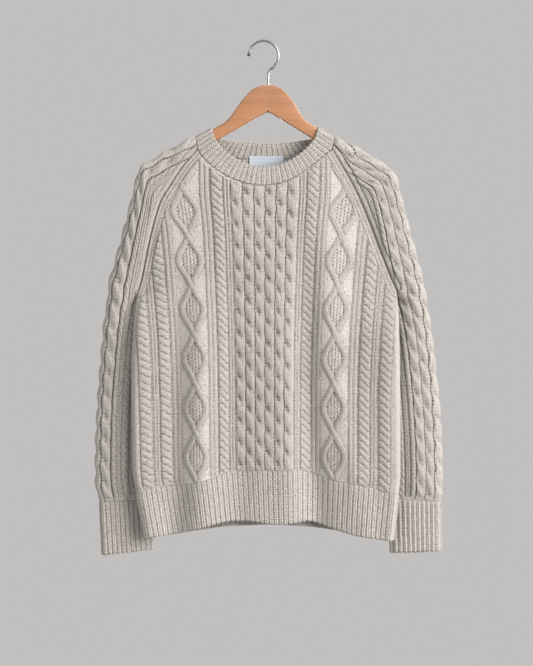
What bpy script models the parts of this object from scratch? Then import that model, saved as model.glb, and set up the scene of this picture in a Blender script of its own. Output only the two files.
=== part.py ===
"""
Cable knit sweater hung flat on a wooden hanger with a steel hook.

Tables and named sizes are in millimetres and the meshes are in metres.
The origin is the inside top of the hook, where it hangs. +Z is up, the front of
the sweater faces -Y, and +X is to the right of someone who looks at the front.
Left and right in the names are that viewer's left and right.
"""

import math

import bmesh
import bpy
import numpy as np
from mathutils import Vector
from mathutils.geometry import delaunay_2d_cdt

MM = 0.001

# Cloth
WALL = 3.0            # knitted wall without its raised stitches
RIB_WALL = 2.4        # wall in the grooves of the ribbing
SEAM_GAP = 0.36       # between two pieces at a seam
INNER_GAP = 0.15      # from the middle of a side seam to each wall
CENTRE_X = 0.5        # middle line of the knitted pattern
UNDERARM_Z = -397.0
COLLAR_Z = -172.0     # where the raglan seams meet the neckband
HEM_ENDS = (-205.0, 214.0)  # x of the side seams at the hem

# Raised stitches
WAVE_LIFT = 3.6
ROPE_LIFT = 3.2
STRAND_LIFT = 3.4
TWIN_LIFT = 1.7
BAND_LIFT = 1.2
MOSS_LIFT = 0.9
RIB_LIFT = 1.7
ROPE_PITCH = 12.0
BODY_STEP = 55.0      # between the points of a straight line of stitches
SLEEVE_STEP = 30.0
BODY_WAVE_PERIOD = 35.0
SLEEVE_WAVE_PERIOD = 34.0
DIAMOND_PERIOD = 78.5
DIAMOND_REACH = 17.5  # from the middle of a diamond to the crest of its strand
STRAND_HALF = 5.0
LOWEST_CROSSING = 704.0
BAND_WIDTH = 13.0     # plain band along each raglan seam
SLEEVE_BACK = 22.0    # how far the sleeves hang behind the middle of the body

# Hanger
HANGER_X = 5.9
CROWN_Z = -69.3
WOOD_HALF = 6.0       # half of the wood's thickness
ARM_REACH = 200.0
JOIN_DROP = 59.2      # from the crown down to where the arms begin
APEX_Z = -112.8
WIRE_RADIUS = 2.1
HOOK_RADIUS = 23.7    # to the middle of the wire
HOOK_X = -1.3
BORE_DEPTH = 12.0
BORE_PLAY = 0.3
ARM_PLAY = 0.45       # from the top of an arm to the cloth on it
EDGE_ROUND = 2.5      # rounding of the edges of the wood

# Columns: height z, left x, right x. Raglan seams from the neckband to the underarm.
RAGLAN = [
    (-172, -107.2, 108.0),
    (-196, -128.5, 122.6),
    (-235, -154.4, 144.5),
    (-254, -166.0, 153.5),
    (-290, -177.6, 168.6),
    (-334, -188.0, 185.5),
    (-382, -197.6, 205.0),
    (-397, -202.4, 212.0),
]

# Columns: height z, left x, right x. Side edges from the underarm to the lower edge.
SIDES = [
    (-397, -202.4, 212.0),
    (-447, -209.0, 215.2),
    (-529, -213.5, 217.0),
    (-638, -212.5, 217.6),
    (-690, -211.0, 217.6),
    (-728, -204.0, 214.5),
    (-810, -190.0, 205.5),
]

# Columns: height z, middle half depth in front, the same behind, half depth at the edge,
# forward shift of the edge.
DEPTHS = [
    (-140, 3.0, 3.0, 8.6, 0),
    (-172, 5.0, 4.0, 8.3, 0),
    (-235, 8.0, 7.0, 7.4, 0),
    (-300, 13.0, 11.0, 5.0, 0),
    (-350, 16.0, 14.0, 2.8, 0),
    (-397, 18.0, 16.0, INNER_GAP, 0),
    (-425, 19.0, 17.0, INNER_GAP, -7),
    (-460, 19.5, 18.0, INNER_GAP, -9),
    (-690, 19.0, 17.5, INNER_GAP, -9),
    (-730, 17.0, 15.0, INNER_GAP, -8),
    (-810, 15.0, 13.0, INNER_GAP, -6),
]

# Columns: x at the top, x at the bottom, height where it starts, height where it is full,
# half width, swell outward (minus for a trough). Soft hanging folds of the front.
FRONT_FOLDS = [
    (-92, -112, -330, -640, 24, 4.5),
    (-10, -4, -300, -600, 30, -5.0),
    (40, 47, -360, -660, 20, 4.0),
    (84, 95, -330, -620, 17, -4.0),
    (122, 141, -300, -640, 22, 6.0),
    (-140, -148, -420, -700, 18, -3.0),
    (160, 182, -420, -680, 16, -2.5),
]

# The same columns. Soft hanging folds of the back.
BACK_FOLDS = [
    (-120, -138, -320, -650, 24, 4.0),
    (-50, -62, -300, -600, 22, -4.0),
    (-4, -10, -330, -640, 26, 4.5),
    (56, 52, -360, -620, 20, -4.5),
    (104, 118, -300, -660, 26, 4.0),
    (170, 168, -440, -700, 16, -2.5),
]

# Columns: height z, left scale, right scale. Sideways spread of the pattern columns.
SPREAD = [
    (-172, 1.20, 1.20),
    (-234, 1.19, 1.19),
    (-302, 1.12, 1.12),
    (-398, 1.06, 1.06),
    (-478, 1.02, 1.02),
    (-574, 1.00, 1.00),
    (-690, 0.985, 1.00),
    (-728, 0.955, 0.985),
    (-810, 0.90, 0.95),
]

# Columns: x, z. Seam between the front and its neckband.
FRONT_COLLAR = [
    (-107.2, -172.0),
    (-99.0, -185.0),
    (-84.0, -200.0),
    (-59.4, -216.0),
    (-28.8, -227.5),
    (1.9, -230.6),
    (32.5, -224.5),
    (59.0, -210.8),
    (83.5, -192.0),
    (99.0, -178.8),
    (108.0, -172.0),
]

# Columns: x, z. Seam between the back and its neckband.
BACK_COLLAR = [
    (-107.2, -172.0),
    (-80.0, -180.5),
    (-45.0, -186.5),
    (0.0, -189.0),
    (45.0, -187.0),
    (80.0, -181.0),
    (108.0, -172.0),
]

# Columns: x, z. Free edge of the neckband in front.
FRONT_FREE = [
    (-79.8, -155.0),
    (-69.6, -169.3),
    (-53.3, -183.7),
    (-28.8, -195.8),
    (0.0, -198.9),
    (28.3, -194.9),
    (53.0, -181.6),
    (69.3, -167.2),
    (80.5, -154.0),
]

# Columns: x, z. Free edge of the neckband behind.
BACK_FREE = [
    (-79.8, -155.0),
    (-60.0, -157.0),
    (-35.0, -158.6),
    (0.0, -161.0),
    (33.0, -160.6),
    (60.0, -157.0),
    (80.5, -154.0),
]

# Columns: x, z. Seam between a body panel and its hem rib.
HEM_SEAM = [
    (-215, -717),
    (-184, -714),
    (-151, -710.7),
    (-102.6, -704),
    (-61.6, -690),
    (-28, -686.2),
    (31, -686.2),
    (69.3, -688),
    (110.7, -702),
    (161.3, -711.7),
    (200.5, -722),
    (225, -727),
]

# Columns: x, z in front, z behind. Lower edge of the hem rib.
HEM_EDGE = [
    (-200, -797, -796),
    (-143.2, -788, -789),
    (-103.2, -778.4, -783),
    (-63, -768.5, -777),
    (-23, -767.7, -776),
    (17, -772.8, -775),
    (49, -770.0, -776),
    (75, -768.0, -778),
    (120.8, -783.2, -785),
    (152.8, -791.2, -791),
    (215, -800.5, -799),
]

# Columns: kind, inner edge, outer edge. One half of the pattern, from its middle line.
BODY_PATTERN = [
    ("wave", 0, 15),
    ("wave", 15, 30),
    ("wave", 30, 46),
    ("rib", 46, 57),
    ("rope", 57, 73),
    ("twin", 74, 85),
    ("diamond", 109, 109),
    ("twin", 134, 149),
    ("rope", 152, 170),
    ("rib", 171, 181),
    ("rope", 182, 202),
]

# Columns: level (height of the seam side), seam side x, outer fold x, outer fold z,
# inner radius of the fold, bulge, backward shift.
SLEEVES = {
    "left": [
        (-172, -107.2, -110.4, -150.8, 7.0, 0.0, 0),
        (-196, -128.5, -146.0, -170.9, 7.0, 0.2, 0),
        (-235, -154.4, -180.0, -190.5, 7.3, 1.0, 0),
        (-254, -166.0, -199.0, -204.0, 8.0, 2.0, 0),
        (-290, -177.6, -211.5, -249.0, 9.0, 3.0, 0),
        (-334, -188.0, -225.5, -303.0, 10.0, 3.0, 0),
        (-382, -197.6, -241.0, -362.0, 10.0, 2.0, 0),
        (-397, -202.4, -247.5, -388.0, 10.0, 1.5, 0),
        (-406, -206.8, -249.0, -400.0, 10.0, 1.5, 4),
        (-415, -205.5, -250.5, -412.0, 10.0, 1.5, 10),
        (-432, -194.4, -253.5, -432.0, 10.0, 2.0, 16),
        (-494, -186.4, -261.0, -503.0, 9.5, 4.0, 21),
        (-574, -189.6, -267.5, -582.0, 9.0, 4.5, 22),
        (-638, -189.6, -270.0, -645.0, 8.5, 4.5, 22),
        (-690, -187.5, -270.5, -696.0, 8.0, 4.0, 22),
        (-734, -184.8, -266.5, -738.0, 7.0, 3.0, 22),
    ],
    "right": [
        (-172, 108.0, 113.0, -151.0, 7.0, 0.0, 0),
        (-196, 122.6, 146.0, -170.9, 7.0, 0.2, 0),
        (-235, 144.5, 192.0, -198.6, 7.3, 1.5, 0),
        (-254, 153.5, 207.5, -212.0, 8.0, 2.0, 0),
        (-290, 168.6, 218.5, -249.0, 9.0, 3.0, 0),
        (-334, 185.5, 233.0, -306.0, 10.0, 3.0, 0),
        (-382, 205.0, 250.0, -374.0, 10.0, 2.0, 0),
        (-397, 212.0, 254.0, -396.0, 10.0, 1.5, 0),
        (-406, 216.0, 256.0, -407.0, 10.0, 1.5, 4),
        (-415, 215.5, 258.0, -418.0, 10.0, 1.5, 10),
        (-432, 208.0, 261.0, -436.0, 10.0, 2.0, 16),
        (-494, 200.8, 270.5, -500.0, 9.5, 4.0, 21),
        (-574, 198.4, 278.5, -580.0, 9.0, 4.5, 22),
        (-638, 199.2, 282.5, -643.0, 8.5, 4.5, 22),
        (-690, 201.0, 284.3, -693.0, 8.0, 4.0, 22),
        (-734, 202.4, 284.5, -736.0, 7.0, 3.0, 22),
    ],
}

# Columns: inner x, inner z, outer x, outer z, fold radius, bulge. The open end of each cuff.
CUFF_ENDS = {
    "left": (-180.6, -815.2, -262.2, -824.8, 7.0, 1.0),
    "right": (205.4, -821.1, 285.0, -818.0, 7.0, 1.0),
}

# Middle of the cable panel from the outer fold, plus toward the back.
PANEL_SHIFT = {"left": 5.0, "right": -15.0}

# Columns: kind, inner edge, outer edge. One half of the sleeve pattern.
SLEEVE_PATTERN = [
    ("wave", 0, 16),
    ("wave", 16, 32),
    ("twin", 40, 48),
    ("rope", 51, 61),
    ("twin", 68, 76),
]

# Columns: share of the way to the arm, drop below the crown. Outline of the wooden crown.
CROWN = [
    (0.00, 0.0),
    (0.20, -1.7),
    (0.30, -4.4),
    (0.40, -8.9),
    (0.52, -17.5),
    (0.64, -27.5),
    (0.77, -40.5),
    (0.88, -51.0),
    (1.00, -59.2),
]

# Columns: where the arm begins, slope of its top, slope of its underside.
ARMS = {-1: (69.4, 0.565, 0.57), 1: (63.4, 0.605, 0.62)}

# Columns: distance from the tip, share of the full height. Rounded end of an arm.
ARM_TIP = [(0.0, 0.45), (4.0, 0.80), (14.0, 1.0)]


def clear_scene():
    for item in list(bpy.data.objects):
        bpy.data.objects.remove(item, do_unlink=True)


def smooth_reader(rows):
    """Return a function that reads the table smoothly, without overshoot, by its first column."""
    table = np.array(sorted(rows), dtype=float)
    keys = table[:, 0]
    values = table[:, 1:]
    steps = np.diff(values, axis=0) / np.diff(keys)[:, None]
    slopes = np.zeros_like(values)
    slopes[0] = steps[0]
    slopes[-1] = steps[-1]
    before, after = steps[:-1], steps[1:]
    same_way = before * after > 0
    total = np.where(same_way, before + after, 1.0)
    slopes[1:-1] = np.where(same_way, 2 * before * after / total, 0.0)

    def read(key):
        key = min(max(key, keys[0]), keys[-1])
        row = min(int(np.searchsorted(keys, key, side="right")) - 1, len(keys) - 2)
        span = keys[row + 1] - keys[row]
        part = (key - keys[row]) / span
        rest = 1 - part
        return (
            values[row] * (1 + 2 * part) * rest ** 2
            + slopes[row] * span * part * rest ** 2
            + values[row + 1] * (3 - 2 * part) * part ** 2
            - slopes[row + 1] * span * part ** 2 * rest
        )

    return read


def smooth_path(rows, count):
    """Return count points, evenly spaced along a smooth curve through the rows."""
    points = [np.array(row, dtype=float) for row in rows]
    points = [2 * points[0] - points[1]] + points + [2 * points[-1] - points[-2]]
    dense = []
    for a, b, c, d in zip(points, points[1:], points[2:], points[3:]):
        for step in range(12):
            t = step / 12
            dense.append(0.5 * (2 * b + (c - a) * t + (2 * a - 5 * b + 4 * c - d) * t ** 2
                                + (3 * b - a - 3 * c + d) * t ** 3))
    dense.append(points[-2])
    return even_path(dense, count)


def even_path(points, count):
    points = np.array(points)
    reach = np.concatenate([[0], np.cumsum(np.linalg.norm(np.diff(points, axis=0), axis=1))])
    places = np.linspace(0, reach[-1], count)
    return [np.array([np.interp(place, reach, column) for column in points.T]) for place in places]


def shift_path(points, distance):
    """Move a flat path sideways, to the left of its direction."""
    moved = []
    for index, point in enumerate(points):
        ahead = points[min(index + 1, len(points) - 1)] - points[max(index - 1, 0)]
        ahead = ahead / np.linalg.norm(ahead)
        moved.append(point + distance * np.array([-ahead[1], ahead[0]]))
    return moved


def ease(start, end, value):
    part = min(max((value - start) / (end - start), 0.0), 1.0)
    return part * part * (3 - 2 * part)


read_raglan = smooth_reader(RAGLAN)
read_sides = smooth_reader(SIDES)
read_depths = smooth_reader(DEPTHS)
read_spread = smooth_reader(SPREAD)

RAGLAN_STEPS = 16
SIDE_STEPS = 18
COLLAR_STEPS = 22
HEM_STEPS = 28


def raglan_path(side):
    """Raglan seam in the x, z plane, from the neckband down to the underarm."""
    column = 0 if side == "left" else 1
    rows = [(read_raglan(z)[column], z) for z in np.linspace(COLLAR_Z, UNDERARM_Z, 60)]
    return even_path(rows, RAGLAN_STEPS + 1)


RAGLAN_PATHS = {"left": raglan_path("left"), "right": raglan_path("right")}
HEM_PATH = smooth_path(HEM_SEAM, HEM_STEPS + 1)
HEM_FRONT_EDGE = smooth_path([(x, front) for x, front, _ in HEM_EDGE], 40)
HEM_BACK_EDGE = smooth_path([(x, back) for x, _, back in HEM_EDGE], 40)


def path_distance(path, x, z):
    """Distance from a point to a flat path."""
    starts = np.array(path[:-1])
    spans = np.diff(np.array(path), axis=0)
    offsets = np.array([x, z]) - starts
    shares = np.clip((offsets * spans).sum(axis=1) / (spans ** 2).sum(axis=1), 0, 1)
    return float(np.linalg.norm(offsets - spans * shares[:, None], axis=1).min())


def path_height(path, x):
    return float(np.interp(x, [point[0] for point in path], [point[1] for point in path]))


def body_edges(z):
    """Left and right edge of the body at height z."""
    if z >= UNDERARM_Z:
        return [float(np.interp(-z, [-point[1] for point in RAGLAN_PATHS[side]],
                                [point[0] for point in RAGLAN_PATHS[side]]))
                for side in ("left", "right")]
    return list(read_sides(z))


def fold_swell(folds, x, z, edge_distance):
    swell = 0.0
    for top_x, low_x, top_z, full_z, width, height in folds:
        grown = ease(-top_z, -full_z, -z)
        middle = top_x + (low_x - top_x) * ease(-top_z, -full_z, -z)
        swell += height * grown * math.exp(-((x - middle) / width) ** 2)
    return swell * ease(0, 45, edge_distance)


def body_depth(face, x, z):
    """Depth of the inner wall at x, z. Face is -1 for the front and 1 for the back."""
    left, right = body_edges(z)
    across = min(max((x - left) / (right - left), 0.0), 1.0)
    edge = abs(2 * across - 1)
    front, back, edge_half, forward = read_depths(z)
    middle = front if face < 0 else back
    folds = FRONT_FOLDS if face < 0 else BACK_FOLDS
    edge_distance = min(x - left, right - x)
    half = edge_half + middle * (1 - edge ** 3) + fold_swell(folds, x, z, max(edge_distance, 0))
    return forward * edge ** 4 + face * half


def body_place(face):
    def place(a, b, lift):
        return (a, body_depth(face, a, -b) + face * lift, -b)
    return place


def pattern_x(offset, z):
    left, right = read_spread(z)
    return CENTRE_X + offset * (left if offset < 0 else right)


class Relief:
    """Raised points of a cloth panel in its flat plane, with the lines that tie them."""

    def __init__(self, flatten, keep):
        self.flatten = flatten
        self.keep = keep
        self.points = []
        self.ties = []

    def line(self, stations):
        """Add one line of (across, down, lift) stations and tie those that lie on the panel."""
        self.flat_line([(*self.flatten(across, down), lift) for across, down, lift in stations],
                       self.keep)

    def flat_line(self, stations, keep=None):
        """The same for stations that are already in the flat plane."""
        previous = None
        for a, b, lift in stations:
            if keep is None or keep(a, b):
                self.points.append((a, b, lift))
                current = len(self.points) - 1
                if previous is not None:
                    self.ties.append((previous, current))
                previous = current
            else:
                previous = None


def add_straight(relief, across, lift, top, bottom, step):
    count = max(2, round((bottom - top) / step))
    relief.line([(across, down, lift) for down in np.linspace(top, bottom, count)])


def add_rib(relief, inner, outer, top, bottom, step):
    add_straight(relief, (inner + outer) / 2, TWIN_LIFT, top, bottom, step)


def add_twin(relief, inner, outer, top, bottom, step):
    inset = 0.26 * (outer - inner)
    add_straight(relief, inner + inset, TWIN_LIFT, top, bottom, step)
    add_straight(relief, (inner + outer) / 2, 0.0, top, bottom, step)
    add_straight(relief, outer - inset, TWIN_LIFT, top, bottom, step)


def add_rope(relief, inner, outer, top, bottom, lean):
    """A narrow rope: each turn is a crest that leans across the column, with a hollow between."""
    left, right = min(inner, outer), max(inner, outer)
    width = right - left
    tilt = 0.30 * ROPE_PITCH * lean
    add_straight(relief, left, 0, top, bottom, 2 * ROPE_PITCH)
    add_straight(relief, right, 0, top, bottom, 2 * ROPE_PITCH)
    for turn in np.arange(top + ROPE_PITCH / 2, bottom, ROPE_PITCH):
        relief.line([(left + 0.2 * width, turn - tilt, ROPE_LIFT),
                     (right - 0.2 * width, turn + tilt, ROPE_LIFT)])
        relief.line([((left + right) / 2, turn + ROPE_PITCH / 2, 0.45 * ROPE_LIFT)])


def add_wave(relief, inner, outer, top, bottom, period, late, lean):
    """A wide cable column: long leaning lobes that follow one another down the cloth."""
    left, right = min(inner, outer), max(inner, outer)
    width = right - left
    start = top + (period / 2 if late else 0)
    add_straight(relief, left, 0, top, bottom, period / 2)
    for turn in np.arange(start, bottom, period):
        relief.line([(left + width * (0.5 - 0.16 * lean), turn - 0.30 * period, WAVE_LIFT),
                     (left + width * (0.5 + 0.16 * lean), turn + 0.30 * period, WAVE_LIFT)])
        relief.line([(left + 0.5 * width, turn + 0.5 * period, 0.3 * WAVE_LIFT)])


def add_diamond(relief, middle, bottom, rows):
    """Two crossing strands that form a chain of diamonds with moss stitch inside."""
    half = DIAMOND_PERIOD / 2
    for side in (-1, 1):
        crest, outside = [], []
        for step in range(2 * rows + 1):
            down = bottom - step * half
            open_now = step % 2
            crest.append((middle + side * DIAMOND_REACH * open_now, down,
                          STRAND_LIFT * (1.0 if open_now else 1.15)))
            outside.append((middle + side * (DIAMOND_REACH * open_now + STRAND_HALF), down, 0))
        if side > 0:
            crest = [station for station in crest if station[0] != middle]
            for station in crest:
                relief.line([station])
        else:
            relief.line(crest)
        relief.line(outside)
    for row in range(rows):
        low = bottom - row * DIAMOND_PERIOD
        tip_low, tip_high = low - 9.0, low - DIAMOND_PERIOD + 9.0
        for side in (-1, 1):
            relief.line([(middle + side * (DIAMOND_REACH - STRAND_HALF), low - half, 0.3)])
        relief.line([(middle, tip_low, 0.3), (middle, low - half, MOSS_LIFT), (middle, tip_high, 0.3)])


def add_pattern(relief, pattern, top, bottom, period, leaning, step, shift=0.0):
    """Lay the half pattern on both sides of its middle line."""
    makers = {"rib": add_rib, "twin": add_twin}
    for side in (-1, 1):
        for index, (kind, inner, outer) in enumerate(pattern):
            near, far = shift + side * inner, shift + side * outer
            if kind in makers:
                makers[kind](relief, near, far, top, bottom, step)
            elif kind == "rope":
                add_rope(relief, near, far, top, bottom, leaning)
            elif kind == "wave":
                late = (index + (side > 0)) % 2
                add_wave(relief, near, far, top, bottom, period, late, leaning)
            else:
                add_diamond(relief, near, LOWEST_CROSSING, 6)


def triangulate(points, ties):
    """Triangles between flat points, inside the closed loop that the ties contain."""
    flat = [Vector((point[0], point[1])) for point in points]
    result = delaunay_2d_cdt(flat, ties, [], 1, 1e-5)
    origins = [list(source) for source in result[3]]
    crossings = [tuple(place) for place, source in zip(result[0], origins) if not source]
    if crossings:
        raise ValueError(f"lines of the relief cross at {crossings}")
    return [[origins[corner][0] for corner in face] for face in result[2]]


def finish_object(name, vertices, faces, material, collection):
    """Weld, turn the faces outward and link the mesh as one object."""
    mesh = bpy.data.meshes.new(name)
    mesh.from_pydata([tuple(value * MM for value in vertex) for vertex in vertices], [], faces)
    work = bmesh.new()
    work.from_mesh(mesh)
    bmesh.ops.remove_doubles(work, verts=work.verts, dist=1e-6)
    loose = [vertex for vertex in work.verts if not vertex.link_faces]
    bmesh.ops.delete(work, geom=loose, context="VERTS")
    bmesh.ops.recalc_face_normals(work, faces=work.faces)
    work.to_mesh(mesh)
    work.free()
    mesh.shade_smooth()
    mesh.set_sharp_from_angle(angle=math.radians(50))
    mesh.materials.append(material)
    result = bpy.data.objects.new(name, mesh)
    collection.objects.link(result)
    return result


def cloth_solid(name, loop, open_rim, relief, inner_points, place, edge_lift, material, collection):
    """
    Build a cloth wall: a raised outer face, a plain inner face and the cut edges between them.

    The loop runs around the flat panel. A rim is closed where open_rim is true, and elsewhere
    the two ends of the flat panel are welded to each other.
    """
    count = len(loop)
    ring = [(index, (index + 1) % count) for index in range(count)]
    outer = [(a, b, edge_lift(a, b)) for a, b in loop] + relief.points
    outer_ties = ring + [(start + count, end + count) for start, end in relief.ties]
    inner = list(loop) + list(inner_points)
    vertices = [place(a, b, WALL + lift) for a, b, lift in outer]
    vertices += [place(a, b, 0.0) for a, b in inner]
    first_inner = len(outer)
    faces = [tuple(face) for face in triangulate(outer, outer_ties)]
    faces += [tuple(first_inner + corner for corner in reversed(face))
              for face in triangulate(inner, ring)]
    for start, end in ring:
        if open_rim(loop[start], loop[end]):
            faces.append((start, end, first_inner + end))
            faces.append((start, first_inner + end, first_inner + start))
    return finish_object(name, vertices, faces, material, collection)


def grid_inside(keep, low, high, step_a, step_b):
    points = []
    for row, b in enumerate(np.arange(low[1], high[1], step_b)):
        start = low[0] + (step_a / 2 if row % 2 else 0)
        points += [(a, b) for a in np.arange(start, high[0], step_a) if keep(a, b)]
    return points


def body_outline(face):
    """Closed outline of a body panel in the plane (x, depth below the origin)."""
    half_gap = SEAM_GAP / 2
    collar_rows = FRONT_COLLAR if face < 0 else BACK_COLLAR
    collar = shift_path(smooth_path(collar_rows, COLLAR_STEPS + 1), -half_gap)
    right = shift_path(RAGLAN_PATHS["right"], -half_gap)
    left = shift_path(RAGLAN_PATHS["left"], half_gap)
    collar[0] = left[0] + np.array([0.25, -0.25])
    collar[-1] = right[0] + np.array([-0.25, -0.25])
    side_right = side_path(1)
    side_left = side_path(0)
    seam = [np.array([point[0], point[1] + half_gap]) for point in HEM_PATH
            if side_left[-1][0] + 4 < point[0] < side_right[-1][0] - 4]
    loop = collar + right[1:-1] + side_right + seam[::-1] + side_left[::-1] + left[1:-1][::-1]
    return [(float(point[0]), float(-point[1])) for point in loop]


def side_path(column):
    """Side edge of a body panel from the underarm down to the hem seam."""
    low = SIDES[4][0]
    for _ in range(4):
        low = path_height(HEM_PATH, read_sides(low)[column]) + SEAM_GAP / 2
    inset = SEAM_GAP / 2 if column == 0 else -SEAM_GAP / 2
    return [np.array([read_sides(z)[column] + inset, z])
            for z in np.linspace(UNDERARM_Z, low, SIDE_STEPS + 1)]


def body_keep(face, edge_margin, raglan_margin, seam_margin):
    """Return the test for points that lie well inside a body panel."""
    collar = smooth_path(FRONT_COLLAR if face < 0 else BACK_COLLAR, 40)

    def keep(a, b):
        z = -b
        left, right = body_edges(z)
        if not left + edge_margin < a < right - edge_margin:
            return False
        side = "left" if a < CENTRE_X else "right"
        if z > UNDERARM_Z - raglan_margin and path_distance(RAGLAN_PATHS[side], a, z) < raglan_margin:
            return False
        if z > path_height(collar, a) - seam_margin or z > COLLAR_Z - 4:
            return False
        return z > path_height(HEM_PATH, a) + seam_margin

    return keep


def add_raglan_band(relief, side, keep):
    """Two fine lines that run beside a raglan seam."""
    path = RAGLAN_PATHS[side]
    toward = -1 if side == "right" else 1
    for inset, lift in ((3.2, BAND_LIFT), (6.8, 0.3), (10.2, BAND_LIFT)):
        stations = [(point[0], -point[1], lift)
                    for point in shift_path(path[1:-2:2], toward * inset)]
        relief.flat_line(stations, keep)


def add_side_roundings(relief):
    """Lines just inside the side edges, where the wall rounds over."""
    for column, toward in ((0, 1), (1, -1)):
        for inset, lift in ((1.3, -0.5), (4.2, 0.0)):
            stations = [(read_sides(z)[column] + toward * inset, -z, lift)
                        for z in np.linspace(UNDERARM_Z - 12, SIDES[4][0] - 14, SIDE_STEPS - 2)]
            relief.flat_line(stations)


def build_body(name, face, material, collection):
    keep = body_keep(face, 6.5, BAND_WIDTH, 3.5)
    relief = Relief(lambda across, down: (pattern_x(across, -down), down), keep)
    add_pattern(relief, BODY_PATTERN, 175.0, 730.0, BODY_WAVE_PERIOD, -face, BODY_STEP)
    for side in ("left", "right"):
        add_raglan_band(relief, side, body_keep(face, 2.0, 2.0, 2.5))
    add_side_roundings(relief)

    def edge_lift(a, b):
        """The wall thins a little where it rounds over at a side edge."""
        left, right = body_edges(-b)
        on_side = min(abs(a - left), abs(right - a)) < 1.0
        return -1.4 * ease(0, 12, b + UNDERARM_Z) if on_side else 0.0

    inner = grid_inside(body_keep(face, 6.0, 6.0, 6.0), (-230, 176), (230, 735), 16.0, 62.0)
    return cloth_solid(name, body_outline(face), lambda start, end: True, relief, inner,
                       body_place(face), edge_lift, material, collection)


def section_point(share, width, radius, bulge, seam_half, closed):
    """
    One point of a sleeve section and the outward normal there, as (along, depth) pairs.

    Share runs from -1 at the front seam over 0 at the outer fold to 1 at the back seam, and
    along is measured from the seam side to the fold.
    """
    flat = width - radius
    arc = math.pi * radius / 2
    travel = abs(share) * (arc + flat)
    side = -1 if share < 0 else 1
    if travel <= arc:
        angle = travel / radius
        point = (flat + radius * math.cos(angle), side * radius * math.sin(angle))
        return point, (math.cos(angle), side * math.sin(angle))

    def depth(c):
        swell = bulge * 6.75 * c * c * (1 - c)
        opened = radius + (seam_half - radius) * c * c + swell
        shut = (radius + swell) * math.sqrt(max(0.0, 1 - c ** 6))
        return opened * (1 - closed) + shut * closed

    c = min((travel - arc) / flat, 1.0)
    slope = (depth(min(c + 0.01, 1.0)) - depth(c - 0.01)) / (min(c + 0.01, 1.0) - c + 0.01)
    normal = np.array([slope, flat]) / math.hypot(slope, flat)
    if seam_half > 0:
        normal = normal * (1 - c ** 8) + np.array([0.0, 1.0]) * c ** 8
    elif c > 0.9999:
        normal = np.array([-1.0, 0.0])
    normal = normal / np.linalg.norm(normal)
    return (flat * (1 - c), side * depth(c)), (normal[0], side * normal[1])


class Sleeve:
    """The form of one sleeve, read by its level and by the share around its section."""

    def __init__(self, side):
        self.side = side
        rows = SLEEVES[side]
        self.read = smooth_reader(rows)
        self.path = RAGLAN_PATHS[side]
        levels = np.linspace(rows[0][0], rows[-1][0], 80)
        middles = []
        for level in levels:
            seam, fold = self.ends(level)
            middles.append((seam + 2 * fold) / 3)
        steps = np.linalg.norm(np.diff(np.array(middles), axis=0), axis=1)
        self.levels = levels
        self.downs = np.concatenate([[0], np.cumsum(steps)])
        self.length = float(self.downs[-1])

    def ends(self, level):
        """Seam side point and outer fold point of the section, in the x, z plane."""
        inner_x, outer_x, outer_z = self.read(level)[:3]
        if level >= UNDERARM_Z:
            inner_x = float(np.interp(-level, [-point[1] for point in self.path],
                                      [point[0] for point in self.path]))
        return np.array([inner_x, level]), np.array([outer_x, outer_z])

    def level_at(self, down):
        return float(np.interp(down, self.downs, self.levels))

    def down_at(self, level):
        return float(np.interp(-level, -self.levels, self.downs))

    def section(self, level):
        seam, fold = self.ends(level)
        radius, bulge, shift = self.read(level)[3:]
        width = float(np.linalg.norm(fold - seam)) - WALL
        return seam, fold, width, radius, bulge, shift

    def half_girth(self, down):
        _, _, width, radius, _, _ = self.section(self.level_at(down))
        return width - radius + math.pi * radius / 2

    def place(self, a, b, lift):
        level = self.level_at(b)
        seam, fold, width, radius, bulge, shift = self.section(level)
        share = min(max(a / self.half_girth(b), -1.0), 1.0)
        closed = ease(-UNDERARM_Z, -UNDERARM_Z + 60, -level)
        seam_half = read_depths(level)[2] if level > UNDERARM_Z + 0.5 else 0.0
        fold_shift = SLEEVE_BACK * ease(240, 560, -level)
        shift = fold_shift + (shift - fold_shift) * share * share
        outward = 0.6 * SEAM_GAP
        if level <= UNDERARM_Z + 0.5:
            outward = (WALL + SEAM_GAP) * (1 - ease(-UNDERARM_Z, -UNDERARM_Z + 26, -level))
        if self.side == "left":
            outward = -outward
        point, normal = section_point(share, width, radius, bulge, seam_half, closed)
        along = (fold - seam) / np.linalg.norm(fold - seam)
        x, z = seam + along * (point[0] + normal[0] * lift)
        drop = 0.5 * SEAM_GAP * ease(0, 30, 30 - b)
        return (x + outward * share * share, point[1] + normal[1] * lift + shift, z - drop)


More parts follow.
